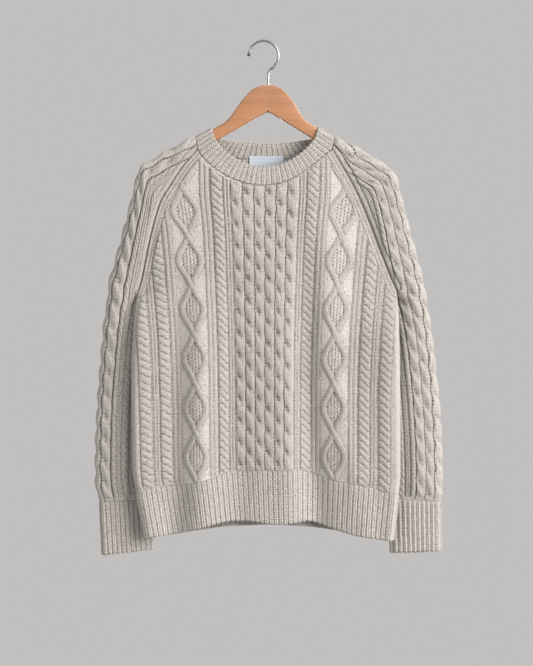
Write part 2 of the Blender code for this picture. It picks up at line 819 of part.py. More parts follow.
def build_sleeve(side, material, collection):
    form = Sleeve(side)
    underarm_down = form.down_at(UNDERARM_Z)
    seam_downs = [form.down_at(point[1]) for point in form.path]
    lower_downs = list(np.linspace(underarm_down, form.length, 19))[1:]
    downs = seam_downs + lower_downs
    top_shares = np.linspace(-1, 1, 13)
    low_shares = np.linspace(-1, 1, 25)
    top = [(share * form.half_girth(0.0), 0.0) for share in top_shares]
    right = [(form.half_girth(down), down) for down in downs[1:]]
    bottom = [(share * form.half_girth(form.length), form.length) for share in low_shares[::-1]]
    left = [(-form.half_girth(down), down) for down in downs[1:-1][::-1]]
    loop = top + right[:-1] + bottom + left

    def keep(a, b):
        if not 3.0 < b < form.length - 3.0:
            return False
        return abs(a) < form.half_girth(b) - 10.0

    relief = Relief(lambda across, down: (across, down), keep)
    leaning = 1 if side == "right" else -1
    add_pattern(relief, SLEEVE_PATTERN, 0.0, form.length - 20.0, SLEEVE_WAVE_PERIOD, leaning,
                SLEEVE_STEP, PANEL_SHIFT[side])
    for above, shares in ((5.0, low_shares[2:-2]), (14.0, low_shares[9:-9])):
        down = form.length - above
        for share in shares:
            relief.line([(share * form.half_girth(down), down, 0.0)])
    for turned in (-1, 1):
        relief.flat_line([(turned * (form.half_girth(down) - 5.0), down, 0.0)
                          for down in downs[2:-1]])

    def inner_keep(a, b):
        return 20 < abs(a) < form.half_girth(b) - 9 and 6 < b < form.length - 6

    inner = grid_inside(inner_keep, (-110, 4), (110, form.length), 16.0, 36.0)
    for down in downs[1:-1]:
        arc = math.pi * form.section(form.level_at(down))[3] / 2
        inner += [(arc * turn / 2, down) for turn in range(-2, 3)]
        inner += [(turned * (form.half_girth(down) - 5.0), down) for turned in (-1, 1)
                  if form.half_girth(down) > arc + 12]

    def open_rim(start, end):
        on_side = abs(abs(start[0]) - form.half_girth(start[1])) < 0.01
        on_side = on_side and abs(abs(end[0]) - form.half_girth(end[1])) < 0.01
        same_row = abs(start[1] - end[1]) < 0.01
        return same_row or not on_side or min(start[1], end[1]) < underarm_down - 0.01

    return cloth_solid("sleeve_" + side, loop, open_rim, relief, inner, form.place,
                       lambda a, b: 0.0, material, collection)


def ring_solid(name, rings, closed, material, collection):
    """Solid between rings of equal length that follow one another around its wall."""
    count = len(rings[0])
    vertices = [point for ring in rings for point in ring]
    faces = []
    for row in range(len(rings)):
        following = (row + 1) % len(rings)
        for column in range(count if closed else count - 1):
            ahead = (column + 1) % count
            faces.append((row * count + column, row * count + ahead, following * count + ahead))
            faces.append((row * count + column, following * count + ahead, following * count + column))
    if not closed:
        first = [row * count for row in range(len(rings))]
        faces.append(tuple(reversed(first)))
        faces.append(tuple(index + count - 1 for index in first))
    return finish_object(name, vertices, faces, material, collection)


def build_hem(name, face, material, collection):
    """A ribbed strip under a body panel."""
    ribs = 52
    half_gap = SEAM_GAP / 2
    edge_path = HEM_FRONT_EDGE if face < 0 else HEM_BACK_EDGE
    rings = [[], [], [], []]
    for step in range(2 * ribs + 1):
        across = step / (2 * ribs)
        lift = RIB_WALL + (RIB_LIFT if step % 2 else 0.0)
        if step in (0, 2 * ribs):
            lift = RIB_WALL * 0.6
        places = []
        for down in (0.0, 1.0):
            left_z = path_height(HEM_PATH, HEM_ENDS[0]) * (1 - down) + edge_path[0][1] * down
            right_z = path_height(HEM_PATH, HEM_ENDS[1]) * (1 - down) + edge_path[-1][1] * down
            left = read_sides(left_z)[0] + half_gap
            right = read_sides(right_z)[1] - half_gap
            x = left + (right - left) * across
            seam_z = path_height(HEM_PATH, x) - half_gap
            places.append((x, seam_z + (path_height(edge_path, x) - seam_z) * down))
        for slot, (x, z) in enumerate(places):
            inner = body_depth(face, x, z)
            rings[slot].append((x, inner + face * lift, z))
            rings[3 - slot].append((x, inner, z))
    return ring_solid(name, rings, False, material, collection)


def build_cuff(side, material, collection):
    """A ribbed tube at the end of a sleeve."""
    ribs = 22
    form = Sleeve(side)
    seam, fold, width, radius, bulge, shift = form.section(SLEEVES[side][-1][0])
    end = CUFF_ENDS[side]
    end_seam, end_fold = np.array(end[0:2]), np.array(end[2:4])
    end_width = float(np.linalg.norm(end_fold - end_seam)) - WALL
    sections = [
        (seam, fold, width, radius, bulge),
        (end_seam, end_fold, end_width, end[4], end[5]),
    ]
    outer, inner = [[], []], [[], []]
    for step in range(2 * ribs):
        share = 2 * step / (2 * ribs) - 1
        lift = RIB_WALL + (RIB_LIFT if step % 2 else 0.0)
        for row, (start, stop, wide, round_radius, swell) in enumerate(sections):
            point, normal = section_point(share, wide, round_radius, swell, 0.0, 1.0)
            along = (stop - start) / np.linalg.norm(stop - start)
            drop = SEAM_GAP * 1.1 if row == 0 else 0.0
            for rows, reach in ((outer, lift), (inner, 0.0)):
                x, z = start + along * (point[0] + normal[0] * reach)
                rows[row].append((x, point[1] + normal[1] * reach + shift, z - drop))
    return ring_solid("cuff_" + side, [outer[0], outer[1], inner[1], inner[0]], True,
                      material, collection)


def shoulder_arc(side, seam_line):
    """Points and normals of the neckband over one arm, from the front to the back."""
    sign = 1 if side == "right" else -1
    form = Sleeve(side)
    seam, fold, width, radius, bulge, _ = form.section(COLLAR_Z)
    if not seam_line:
        free = FRONT_FREE[-1] if side == "right" else FRONT_FREE[0]
        seam = np.array(free, dtype=float)
        begin, slope, _ = ARMS[sign]
        top_x = 86.2 if side == "right" else -85.0
        arm_z = CROWN_Z - JOIN_DROP - slope * (abs(top_x - HANGER_X) - begin)
        fold = np.array([top_x, arm_z + (ARM_PLAY + WALL) * math.hypot(1, slope)])
        width = float(np.linalg.norm(fold - seam)) - WALL
    along = (fold - seam) / np.linalg.norm(fold - seam)
    seam_half = read_depths(COLLAR_Z)[2]
    arc = []
    for share in np.linspace(-1, 1, 13):
        point, normal = section_point(share, width, radius, bulge, seam_half, 0.0)
        x, z = seam + along * point[0]
        arc.append(((x, point[1], z), (along[0] * normal[0], normal[1], along[1] * normal[0])))
    return arc


def flat_stretch(rows, face, count, free):
    """Points and normals of the neckband along the front or the back, from left to right."""
    stretch = []
    for x, z in smooth_path(rows, count):
        if free:
            depth = free_depth(face, x, z)
        else:
            depth = body_depth(face, x, min(z, COLLAR_Z) - (10 if face > 0 else 0))
        stretch.append(((x, depth, z), (0.0, float(face), 0.0)))
    return stretch


def free_depth(face, x, z):
    """Depth of the neckband's free edge, which leans into the neck a little at its middle."""
    wide_x = x * 1.1
    depth = body_depth(face, wide_x, min(z, COLLAR_Z) - (10 if face > 0 else 0))
    return depth - face * 1.5 * (1 - (x / 85) ** 2)


def neck_ring(free):
    """Inner line of the neckband: front, right arm, back and left arm, as one ring."""
    front = flat_stretch(FRONT_FREE if free else FRONT_COLLAR, -1, 57, free)
    back = flat_stretch(BACK_FREE if free else BACK_COLLAR, 1, 45, free)
    right = shoulder_arc("right", not free)
    left = shoulder_arc("left", not free)
    return front + right[1:-1] + back[::-1] + left[1:-1][::-1]


def build_neckband(material, collection):
    seam = neck_ring(False)
    free = neck_ring(True)
    rings = [[], [], [], []]
    for step, ((seam_point, seam_normal), (free_point, free_normal)) in enumerate(zip(seam, free)):
        lift = RIB_WALL + (RIB_LIFT if step % 2 else 0.0)
        seam_point, free_point = np.array(seam_point), np.array(free_point)
        up = (free_point - seam_point) / np.linalg.norm(free_point - seam_point)
        start = seam_point + up * SEAM_GAP * 0.75
        rings[0].append(start + np.array(seam_normal) * lift)
        rings[1].append(free_point + np.array(free_normal) * lift * 0.9)
        rings[2].append(free_point)
        rings[3].append(start)
    return ring_solid("neckband", rings, True, material, collection)


def build_label(material, collection):
    """A small woven label inside the back of the neck, laid on the inside of the cloth."""
    left, right, top, bottom = -24.8, 29.6, -181.6, -200.0
    gap, thickness = 0.35, 1.0
    columns, rows = 7, 3
    front, back = [], []
    for row in range(rows):
        z = top + (bottom - top) * row / (rows - 1)
        front_row, back_row = [], []
        for column in range(columns):
            x = left + (right - left) * column / (columns - 1)
            depth = back_inside(x, z) - gap
            front_row.append((x, depth - thickness, z))
            back_row.append((x, depth, z))
        front.append(front_row)
        back.append(back_row)
    rings = front + back[::-1]
    return ring_solid("neck_label", rings, False, material, collection)


def back_inside(x, z):
    """Depth of the inside of the back, on the neckband above its seam and on the panel below."""
    seam_z = path_height(smooth_path(BACK_COLLAR, 40), x)
    if z <= seam_z:
        return body_depth(1, x, z)
    free_z = path_height(smooth_path(BACK_FREE, 40), x)
    share = (z - seam_z) / (free_z - seam_z)
    seam_depth = body_depth(1, x, min(seam_z, COLLAR_Z) - 10)
    return seam_depth + (free_depth(1, x, free_z) - seam_depth) * share


def arm_top(sign, distance):
    begin, slope, _ = ARMS[sign]
    if distance <= begin:
        shares = [row[0] for row in CROWN]
        drops = [row[1] for row in CROWN]
        return CROWN_Z + float(np.interp(distance / begin, shares, drops))
    return CROWN_Z - JOIN_DROP - slope * (distance - begin)


def arm_section(sign, distance):
    """One upright section across the wood, as (depth, height) points."""
    _, _, under = ARMS[sign]
    top = arm_top(sign, distance)
    bottom = APEX_Z - under * distance
    tips = [row[0] for row in ARM_TIP]
    shares = [row[1] for row in ARM_TIP]
    share = float(np.interp(ARM_REACH - distance, tips, shares))
    middle = (top + bottom) / 2
    half = (top - bottom) / 2 * share
    shift = (1 - share) * 4.0
    full_round = WOOD_HALF - 0.05
    top_round = EDGE_ROUND + (full_round - EDGE_ROUND) * ease(20, ARMS[sign][0] + 14, distance)
    top_round = min(top_round, half * 0.9)
    low_round = min(EDGE_ROUND, half * 0.5)
    points = []
    for turn in np.linspace(0, math.pi / 2, 3):
        points.append((-(WOOD_HALF - top_round) - top_round * math.cos(turn),
                       middle + half - top_round + top_round * math.sin(turn)))
    for turn in np.linspace(math.pi / 2, 0, 3):
        points.append((WOOD_HALF - top_round + top_round * math.cos(turn),
                       middle + half - top_round + top_round * math.sin(turn)))
    for turn in (0, math.pi / 2):
        points.append((WOOD_HALF - low_round + low_round * math.cos(turn),
                       middle - half + low_round - low_round * math.sin(turn)))
    for turn in (math.pi / 2, 0):
        points.append((-(WOOD_HALF - low_round) - low_round * math.cos(turn),
                       middle - half + low_round - low_round * math.sin(turn)))
    return [(depth, height - shift) for depth, height in points]


def build_hanger_wood(material, collection, cutters):
    rings = []
    for sign in (-1, 1):
        begin = ARMS[sign][0]
        distances = [row[0] * begin for row in CROWN[1:]]
        distances += list(np.linspace(begin, ARM_REACH - ARM_TIP[-1][0], 4))[1:]
        distances += [ARM_REACH - row[0] for row in ARM_TIP[::-1]][1:]
        half = [[(HANGER_X + sign * distance, depth, height)
                 for depth, height in arm_section(sign, distance)] for distance in distances]
        if sign < 0:
            rings = half[::-1]
            rings.append([(HANGER_X, depth, height) for depth, height in arm_section(1, 0.0)])
        else:
            rings += half
    count = len(rings[0])
    vertices = [point for ring in rings for point in ring]
    faces = []
    for row in range(len(rings) - 1):
        for column in range(count):
            ahead = (column + 1) % count
            low, high = row * count, (row + 1) * count
            faces.append((low + column, low + ahead, high + ahead, high + column))
    faces.append(tuple(range(count)))
    faces.append(tuple(range(len(vertices) - 1, len(vertices) - 1 - count, -1)))
    wood = finish_object("hanger_wood", vertices, faces, material, collection)
    cut_bore(wood, cutters)
    return wood


def cut_bore(wood, cutters):
    """Drill the hole in the crown that takes the stem of the hook."""
    radius = WIRE_RADIUS + BORE_PLAY
    bpy.ops.mesh.primitive_cylinder_add(vertices=16, radius=radius * MM, depth=2 * BORE_DEPTH * MM,
                                        location=(HANGER_X * MM, 0, CROWN_Z * MM))
    cutter = bpy.context.active_object
    cutter.name = "bore_cutter"
    cutter.hide_render = True
    cutter.display_type = "WIRE"
    for owner in list(cutter.users_collection):
        owner.objects.unlink(cutter)
    cutters.objects.link(cutter)
    bore = wood.modifiers.new("bore", "BOOLEAN")
    bore.operation = "DIFFERENCE"
    bore.solver = "EXACT"
    bore.object = cutter


def hook_points():
    """Middle line of the wire, from its tip on the left round to the bottom of the bore."""
    centre_z = -(HOOK_RADIUS - WIRE_RADIUS)
    points = []
    for degrees in np.linspace(174, -36, 22):
        turn = math.radians(degrees)
        points.append((HOOK_X + HOOK_RADIUS * math.cos(turn), centre_z + HOOK_RADIUS * math.sin(turn)))
    points.append((13.2, -41.0))
    points.append((8.6, -44.6))
    points.append((6.4, -48.2))
    points.append((HANGER_X, -53.0))
    points.append((HANGER_X, CROWN_Z - BORE_DEPTH + BORE_PLAY + 0.1))
    return points


def build_hook(material, collection):
    curve = bpy.data.curves.new("hanger_hook", "CURVE")
    curve.dimensions = "3D"
    curve.bevel_depth = WIRE_RADIUS * MM
    curve.bevel_resolution = 2
    curve.use_fill_caps = True
    spline = curve.splines.new("POLY")
    points = hook_points()
    spline.points.add(len(points) - 1)
    for target, (x, z) in zip(spline.points, points):
        target.co = (x * MM, 0.0, z * MM, 1.0)
    spline.use_smooth = True
    curve.materials.append(material)
    hook = bpy.data.objects.new("hanger_hook", curve)
    collection.objects.link(hook)
    return hook


def make_material(name, colour, roughness, metallic=0.0):
    material = bpy.data.materials.new(name)
    material.use_nodes = True
    shader = material.node_tree.nodes["Principled BSDF"]
    shader.inputs["Base Color"].default_value = (*colour, 1.0)
    shader.inputs["Roughness"].default_value = roughness
    shader.inputs["Metallic"].default_value = metallic
    return material


def main():
    clear_scene()
    collection = bpy.data.collections.new("cable_knit_sweater")
    cutters = bpy.data.collections.new("cutters")
    for item in (collection, cutters):
        bpy.context.scene.collection.children.link(item)
    wool = (0.56, 0.53, 0.49)
    build_body("sweater_front", -1, make_material("wool front", wool, 0.9), collection)
    build_body("sweater_back", 1, make_material("wool back", wool, 0.9), collection)
    build_hem("hem_front", -1, make_material("wool hem front", wool, 0.9), collection)
    build_hem("hem_back", 1, make_material("wool hem back", wool, 0.9), collection)
    for side in ("left", "right"):
        build_sleeve(side, make_material("wool sleeve " + side, wool, 0.9), collection)
        build_cuff(side, make_material("wool cuff " + side, wool, 0.9), collection)
    build_neckband(make_material("wool neckband", wool, 0.9), collection)
    build_label(make_material("woven label", (0.50, 0.57, 0.64), 0.7), collection)
    build_hanger_wood(make_material("beech", (0.52, 0.30, 0.18), 0.45), collection, cutters)
    build_hook(make_material("brushed steel", (0.55, 0.54, 0.53), 0.3, 1.0), collection)


main()
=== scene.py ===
"""
Looks of a cable knit sweater on a wooden hanger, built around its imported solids.

Tables and named sizes are in millimetres. The origin is the inside top of the hook,
+Z is up and the front of the sweater faces -Y.
"""

import math

import bpy
import numpy as np
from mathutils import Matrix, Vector


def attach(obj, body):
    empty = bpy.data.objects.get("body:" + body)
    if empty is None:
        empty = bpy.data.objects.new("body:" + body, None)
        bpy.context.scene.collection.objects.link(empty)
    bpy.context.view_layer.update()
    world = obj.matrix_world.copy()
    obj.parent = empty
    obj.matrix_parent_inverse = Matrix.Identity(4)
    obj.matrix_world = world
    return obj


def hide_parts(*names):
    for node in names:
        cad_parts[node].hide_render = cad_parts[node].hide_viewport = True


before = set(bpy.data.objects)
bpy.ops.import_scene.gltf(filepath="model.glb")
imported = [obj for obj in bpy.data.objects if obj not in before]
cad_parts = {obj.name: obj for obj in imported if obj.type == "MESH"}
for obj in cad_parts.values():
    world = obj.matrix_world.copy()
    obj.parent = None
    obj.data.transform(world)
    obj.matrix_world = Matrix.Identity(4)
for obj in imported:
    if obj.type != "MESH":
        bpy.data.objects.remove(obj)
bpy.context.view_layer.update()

MM = 0.001
WALL = 3.0                  # knitted wall without its raised stitches
RIB_WALL = 2.4
SEAM_GAP = 0.30             # between two pieces at a seam
INNER_GAP = 0.15            # half the gap between front and back at the side edges
EDGE_TURN = 4.5             # width over which the cloth turns round a side edge
CENTRE_X = 0.5              # middle line of the body's pattern
BODY_WIDTH = 430.0
UNDERARM_Z = -397.0
COLLAR_Z = -172.0           # where the neckband's seam lies on the shoulders
HEM_ENDS = (-205.0, 214.0)  # side edges at the hem's seam
SLEEVE_BACK = 22.0          # the hanging sleeves lie this far behind the body's middle
FAR = 1e9                   # beyond every distance

# Heights of the raised stitches, and the sizes of the knitted motifs.
WAVE_LIFT = 3.3
ROPE_LIFT = 3.4
STRAND_LIFT = 1.9
TWIN_LIFT = 1.4
BAND_LIFT = 0.6
RIB_LIFT = 0.85
RIB_INSIDE = 0.8
ROPE_PITCH = 12.0
DIAMOND_PERIOD = 78.5
DIAMOND_REACH = 17.0
STRAND_HALF = 4.4
LOWEST_CROSSING = 704.0
BODY_WAVE_PERIOD = 34.7
SLEEVE_WAVE_PERIOD = 36.0
BODY_GROOVE = 0.24     # depth of the grooves between the lobes, as a share of the wave's lift
SLEEVE_GROOVE = 0.42
SLEEVE_GAIN = 1.05     # the sleeves' pattern stands higher than the body's
HOLLOW_START = 430.8   # distance below the hook of one hollow of the body's cable columns
HOLLOW_SIDE = 0.36     # how far a hollow lies beside its column's middle, in half widths
HOLLOW_LENGTH = 5.4
HOLLOW_WIDTH = 3.8
GROOVE_WIDTH = 3.4
BAND_END = 13.5        # distance from the raglan seam at which the body's pattern is whole
SLEEVE_LINE = 7.8      # distance from the raglan seam of the fine line on the sleeve
FOLD_GAIN = 1.55       # the cloth folds deeper than the plain solid's wall
LINE_PITCH = 15.2      # between the open dotted lines of the cable panels
DOTTED_HALF = 32.0     # the dotted lines lie within this distance of the pattern's middle line
RIB_POINTS = 8         # points across one rib
RIB_PITCH = 8.0
COARSE = 4             # fine cells of the outer face for one cell of the inner face

# Columns: height z, left x, right x. Raglan seams from the neckband to the underarm.
RAGLAN = [
    (-172, -107.2, 108.0), (-196, -128.5, 122.6), (-235, -154.4, 144.5), (-254, -166.0, 153.5),
    (-290, -177.6, 168.6), (-334, -188.0, 185.5), (-382, -197.6, 205.0), (-397, -202.4, 212.0),
]

# Columns: height z, left x, right x. Side edges from the underarm to the lower edge.
SIDES = [
    (-397, -202.4, 212.0), (-447, -209.0, 215.2), (-529, -213.5, 217.0), (-638, -212.5, 217.6),
    (-690, -211.0, 217.6), (-728, -204.0, 214.5), (-810, -190.0, 205.5),
]

# Columns: height z, middle half depth in front, the same behind, half depth at the edge,
# forward shift of the edge.
DEPTHS = [
    (-140, 3.0, 3.0, 8.6, 0), (-172, 5.0, 4.0, 8.3, 0), (-235, 8.0, 7.0, 7.4, 0),
    (-300, 13.0, 11.0, 5.0, 0), (-350, 16.0, 14.0, 2.8, 0), (-397, 18.0, 16.0, INNER_GAP, 0),
    (-425, 19.0, 17.0, INNER_GAP, -7), (-460, 19.5, 18.0, INNER_GAP, -9),
    (-690, 19.0, 17.5, INNER_GAP, -9), (-730, 17.0, 15.0, INNER_GAP, -8),
    (-810, 15.0, 13.0, INNER_GAP, -6),
]

# One list for each hanging fold. Columns: height z, x, half width, swell outward.
FRONT_FOLDS = [
    [(-340, -138, 17, 0.0), (-446, -139, 18, -3.0), (-600, -141, 19, -5.0), (-810, -143, 18, -5.0)],
    [(-340, -100, 26, 0.0), (-446, -101, 25, 3.5), (-600, -101, 25, 6.0), (-810, -98, 24, 6.0)],
    [(-260, -48, 22, 0.0), (-446, -48, 22, -3.0), (-600, -46, 26, -5.0), (-810, -40, 26, -5.0)],
    [(-300, 20, 22, 0.0), (-446, 22, 20, 1.6), (-600, 30, 22, 2.4), (-810, 40, 20, 2.4)],
    [(-280, 70, 14, 0.0), (-446, 67, 18, -7.5), (-600, 70, 20, -9.5), (-730, 81, 23, -9.5),
     (-810, 86, 24, -8.0)],
    [(-290, 108, 20, 0.0), (-446, 112, 22, 3.6), (-573, 128, 25, 5.2), (-670, 143, 25, 6.4),
     (-733, 151, 24, 6.2), (-810, 153, 25, 5.4)],
]
BACK_FOLDS = [
    [(-380, -160, 18, 0.0), (-640, -162, 18, -4.0), (-810, -158, 18, -4.0)],
    [(-320, -118, 24, 0.0), (-640, -128, 24, 5.0), (-810, -130, 22, 5.5)],
    [(-300, -52, 22, 0.0), (-560, -60, 24, -4.5), (-810, -60, 24, -5.0)],
    [(-330, -6, 24, 0.0), (-600, -12, 26, 5.0), (-810, -10, 24, 5.0)],
    [(-360, 56, 20, 0.0), (-600, 54, 20, -4.5), (-810, 50, 20, -4.5)],
    [(-300, 106, 26, 0.0), (-600, 114, 26, 4.5), (-810, 118, 24, 5.0)],
    [(-420, 168, 16, 0.0), (-700, 168, 16, -3.0), (-810, 166, 16, -3.0)],
]

# Columns: height z, left scale, right scale. Sideways spread of the pattern columns.
SPREAD = [
    (-172, 1.20, 1.20), (-234, 1.19, 1.19), (-302, 1.12, 1.12), (-398, 1.06, 1.06), (-478, 1.02, 1.02),
    (-574, 1.00, 1.00), (-690, 0.985, 1.00), (-728, 0.955, 0.985), (-810, 0.90, 0.95),
]

# Columns: x, z.
FRONT_COLLAR = [(-107.2, -172.0), (-99.0, -185.0), (-84.0, -200.0), (-59.4, -216.0), (-28.8, -227.5),
                (1.9, -230.6), (32.5, -224.5), (59.0, -210.8), (83.5, -192.0), (99.0, -178.8),
                (108.0, -172.0)]
BACK_COLLAR = [(-107.2, -172.0), (-80.0, -180.5), (-45.0, -186.5), (0.0, -189.0), (45.0, -187.0),
               (80.0, -181.0), (108.0, -172.0)]
FRONT_FREE = [(-79.8, -155.0), (-69.6, -169.3), (-53.3, -183.7), (-28.8, -195.8), (0.0, -198.9),
              (28.3, -194.9), (53.0, -181.6), (69.3, -167.2), (80.5, -154.0)]
BACK_FREE = [(-79.8, -155.0), (-60.0, -157.0), (-35.0, -158.6), (0.0, -161.0), (33.0, -160.6),
             (60.0, -157.0), (80.5, -154.0)]
HEM_SEAM = [(-215, -717), (-184, -714), (-151, -710.7), (-102.6, -704), (-61.6, -690), (-28, -686.2),
            (31, -686.2), (69.3, -688), (110.7, -702), (161.3, -711.7), (200.5, -722), (225, -727)]

# Columns: x, z in front, z behind. Lower edge of the hem rib.
HEM_EDGE = [(-200, -797, -796), (-143.2, -788, -789), (-103.2, -778.4, -783), (-63, -768.5, -777),
            (-23, -767.7, -776), (17, -772.8, -775), (49, -770.0, -776), (75, -768.0, -778),
            (120.8, -783.2, -785), (152.8, -791.2, -791), (215, -800.5, -799)]

# Columns: kind, inner edge, outer edge. One half of the body pattern, from its middle line.
BODY_PATTERN = [
    ("wave", 0.0, 15.2), ("wave", 15.2, 30.4), ("wave", 30.4, 45.6), ("twin", 47, 56), ("rope", 57, 73),
    ("twin", 74.5, 88), ("diamond", 110, 110), ("twin", 133, 147), ("rope", 149, 167),
    ("twin", 168, 178), ("rope", 181, 200),
]

# Columns: kind, inner edge, outer edge. One half of the sleeve pattern.
SLEEVE_PATTERN = [
    ("wave", 0.0, 15.2), ("wave", 15.2, 30.4), ("rope", 31.4, 38.6), ("twin", 39.5, 46.5),
    ("rope", 48.0, 59.0), ("twin", 62.0, 70.0), ("rope", 73.0, 84.0), ("twin", 87.0, 97.0),
]
PANEL_SHIFT = {"left": 5.0, "right": -12.5}

# Columns: level (height of the seam side), seam side x, outer fold x, outer fold z,
# inner radius of the fold, bulge, backward shift.
SLEEVES = {
    "left": [
        (-172, -107.2, -110.4, -150.8, 7.0, 0.0, 0), (-196, -128.5, -146.0, -170.9, 7.0, 0.2, 0),
        (-235, -154.4, -180.0, -190.5, 7.3, 1.0, 0), (-254, -166.0, -199.0, -204.0, 8.0, 2.0, 0),
        (-290, -177.6, -211.5, -249.0, 9.0, 3.0, 0), (-334, -188.0, -225.5, -303.0, 10.0, 3.0, 0),
        (-382, -197.6, -241.0, -362.0, 10.0, 2.0, 0), (-397, -202.4, -247.5, -388.0, 10.0, 1.5, 0),
        (-406, -206.8, -249.0, -400.0, 10.0, 1.5, 4), (-415, -205.5, -250.5, -412.0, 10.0, 1.5, 10),
        (-432, -194.4, -253.5, -432.0, 10.0, 2.0, 16), (-494, -186.4, -261.0, -503.0, 9.5, 4.0, 21),
        (-574, -189.6, -267.5, -582.0, 9.0, 4.5, 22), (-638, -189.6, -270.0, -645.0, 8.5, 4.5, 22),
        (-690, -187.5, -270.5, -696.0, 8.0, 4.0, 22), (-734, -184.8, -266.5, -738.0, 7.0, 3.0, 22),
    ],
    "right": [
        (-172, 108.0, 113.0, -151.0, 7.0, 0.0, 0), (-196, 122.6, 146.0, -170.9, 7.0, 0.2, 0),
        (-235, 144.5, 192.0, -198.6, 7.3, 1.5, 0), (-254, 153.5, 207.5, -212.0, 8.0, 2.0, 0),
        (-290, 168.6, 218.5, -249.0, 9.0, 3.0, 0), (-334, 185.5, 233.0, -306.0, 10.0, 3.0, 0),
        (-382, 205.0, 250.0, -374.0, 10.0, 2.0, 0), (-397, 212.0, 254.0, -396.0, 10.0, 1.5, 0),
        (-406, 216.0, 256.0, -407.0, 10.0, 1.5, 4), (-415, 215.5, 258.0, -418.0, 10.0, 1.5, 10),
        (-432, 208.0, 261.0, -436.0, 10.0, 2.0, 16), (-494, 200.8, 270.5, -500.0, 9.5, 4.0, 21),
        (-574, 198.4, 278.5, -580.0, 9.0, 4.5, 22), (-638, 199.2, 282.5, -643.0, 8.5, 4.5, 22),
        (-690, 201.0, 284.3, -693.0, 8.0, 4.0, 22), (-734, 202.4, 284.5, -736.0, 7.0, 3.0, 22),
    ],
}

# Columns: inner x, inner z, outer x, outer z, fold radius, bulge. The open end of each cuff.
CUFF_ENDS = {
    "left": (-180.6, -815.2, -262.2, -824.8, 7.0, 1.0),
    "right": (205.4, -821.1, 285.0, -818.0, 7.0, 1.0),
}


def ease(start, end, value):
    """Smooth step from 0 at the start to 1 at the end."""
    part = np.clip((value - start) / (end - start), 0.0, 1.0)
    return part * part * (3 - 2 * part)


def smooth_reader(rows):
    """Return a function that reads the table smoothly, without overshoot, by its first column."""
    table = np.array(sorted(rows), dtype=float)
    keys, values = table[:, 0], table[:, 1:]
    steps = np.diff(values, axis=0) / np.diff(keys)[:, None]
    slopes = np.zeros_like(values)
    slopes[0], slopes[-1] = steps[0], steps[-1]
    before, after = steps[:-1], steps[1:]
    same_way = before * after > 0
    total = np.where(same_way, before + after, 1.0)
    slopes[1:-1] = np.where(same_way, 2 * before * after / total, 0.0)

    def read(key):
        key = np.clip(np.asarray(key, dtype=float), keys[0], keys[-1])
        row = np.clip(np.searchsorted(keys, key, side="right") - 1, 0, len(keys) - 2)
        span = (keys[row + 1] - keys[row])[..., None]
        part = (key - keys[row])[..., None] / span
        rest = 1 - part
        result = (values[row] * (1 + 2 * part) * rest ** 2
                  + slopes[row] * span * part * rest ** 2
                  + values[row + 1] * (3 - 2 * part) * part ** 2
                  - slopes[row + 1] * span * part ** 2 * rest)
        return np.moveaxis(result, -1, 0)

    return read


def smooth_path(rows, count):
    """Return count points, evenly spaced along a smooth curve through the rows."""
    points = [np.array(row, dtype=float) for row in rows]
    points = [2 * points[0] - points[1]] + points + [2 * points[-1] - points[-2]]
    dense = []
    for a, b, c, d in zip(points, points[1:], points[2:], points[3:]):
        for t in np.arange(12) / 12:
            dense.append(0.5 * (2 * b + (c - a) * t + (2 * a - 5 * b + 4 * c - d) * t ** 2
                                + (3 * b - a - 3 * c + d) * t ** 3))
    dense = np.array(dense + [points[-2]])
    reach = np.concatenate([[0], np.cumsum(np.linalg.norm(np.diff(dense, axis=0), axis=1))])
    places = np.linspace(0, reach[-1], count)
    return np.stack([np.interp(places, reach, column) for column in dense.T], axis=1)


read_raglan = smooth_reader(RAGLAN)
read_sides = smooth_reader(SIDES)
read_depths = smooth_reader(DEPTHS)
read_spread = smooth_reader(SPREAD)
HEM_PATH = smooth_path(HEM_SEAM, 80)
HEM_FRONT_EDGE = smooth_path([(x, front) for x, front, _ in HEM_EDGE], 80)
HEM_BACK_EDGE = smooth_path([(x, back) for x, _, back in HEM_EDGE], 80)
FOLD_READERS = {-1: [smooth_reader(rows) for rows in FRONT_FOLDS],
                1: [smooth_reader(rows) for rows in BACK_FOLDS]}


def path_height(path, x):
    return np.interp(x, path[:, 0], path[:, 1])


def body_edges(z):
    """Left and right edge of the body at height z."""
    above, below = read_raglan(z), read_sides(z)
    return np.where(z >= UNDERARM_Z, above[0], below[0]), np.where(z >= UNDERARM_Z, above[1], below[1])


def body_depth(face, x, z):
    """Depth of the inner wall at x, z. Face is -1 for the front and 1 for the back."""
    x, z = np.broadcast_arrays(np.asarray(x, dtype=float), np.asarray(z, dtype=float))
    left, right = body_edges(z)
    across = np.clip((x - left) / (right - left), 0.0, 1.0)
    edge = np.abs(2 * across - 1)
    front, back, edge_half, forward = read_depths(z)
    middle = front if face < 0 else back
    edge_distance = np.maximum(np.minimum(x - left, right - x), 0)
    swell = np.zeros_like(x)
    for read in FOLD_READERS[face]:
        fold_x, width, height = read(z)
        swell = swell + FOLD_GAIN * height * np.exp(-((x - fold_x) / width) ** 2)
    # Small uneven waves of hand-knitted cloth
    swell = swell + 0.5 * np.sin(x / 31 + face + 1.3 * np.sin(z / 57)) * np.sin(z / 43 + x / 90)
    half = edge_half + middle * (1 - edge ** 3) + swell * ease(0, 40, edge_distance)
    return forward * edge ** 4 + face * half


def rounded(distance, width, least=0.0):
    """Share of a wall's thickness near an edge that is rounded over the width."""
    return np.sqrt(np.clip(1 - np.clip(1 - distance / width, 0, 1) ** 2, least, 1))


def dome(u, power=0.5):
    """Rounded ridge: 1 at the middle and 0 from |u| = 1 outward."""
    return np.clip(1 - u * u, 0.0, None) ** power


def fine_line(distance, half_width):
    """1 on a line and 0 from half_width away."""
    return np.clip(1 - np.abs(distance) / half_width, 0.0, 1.0)


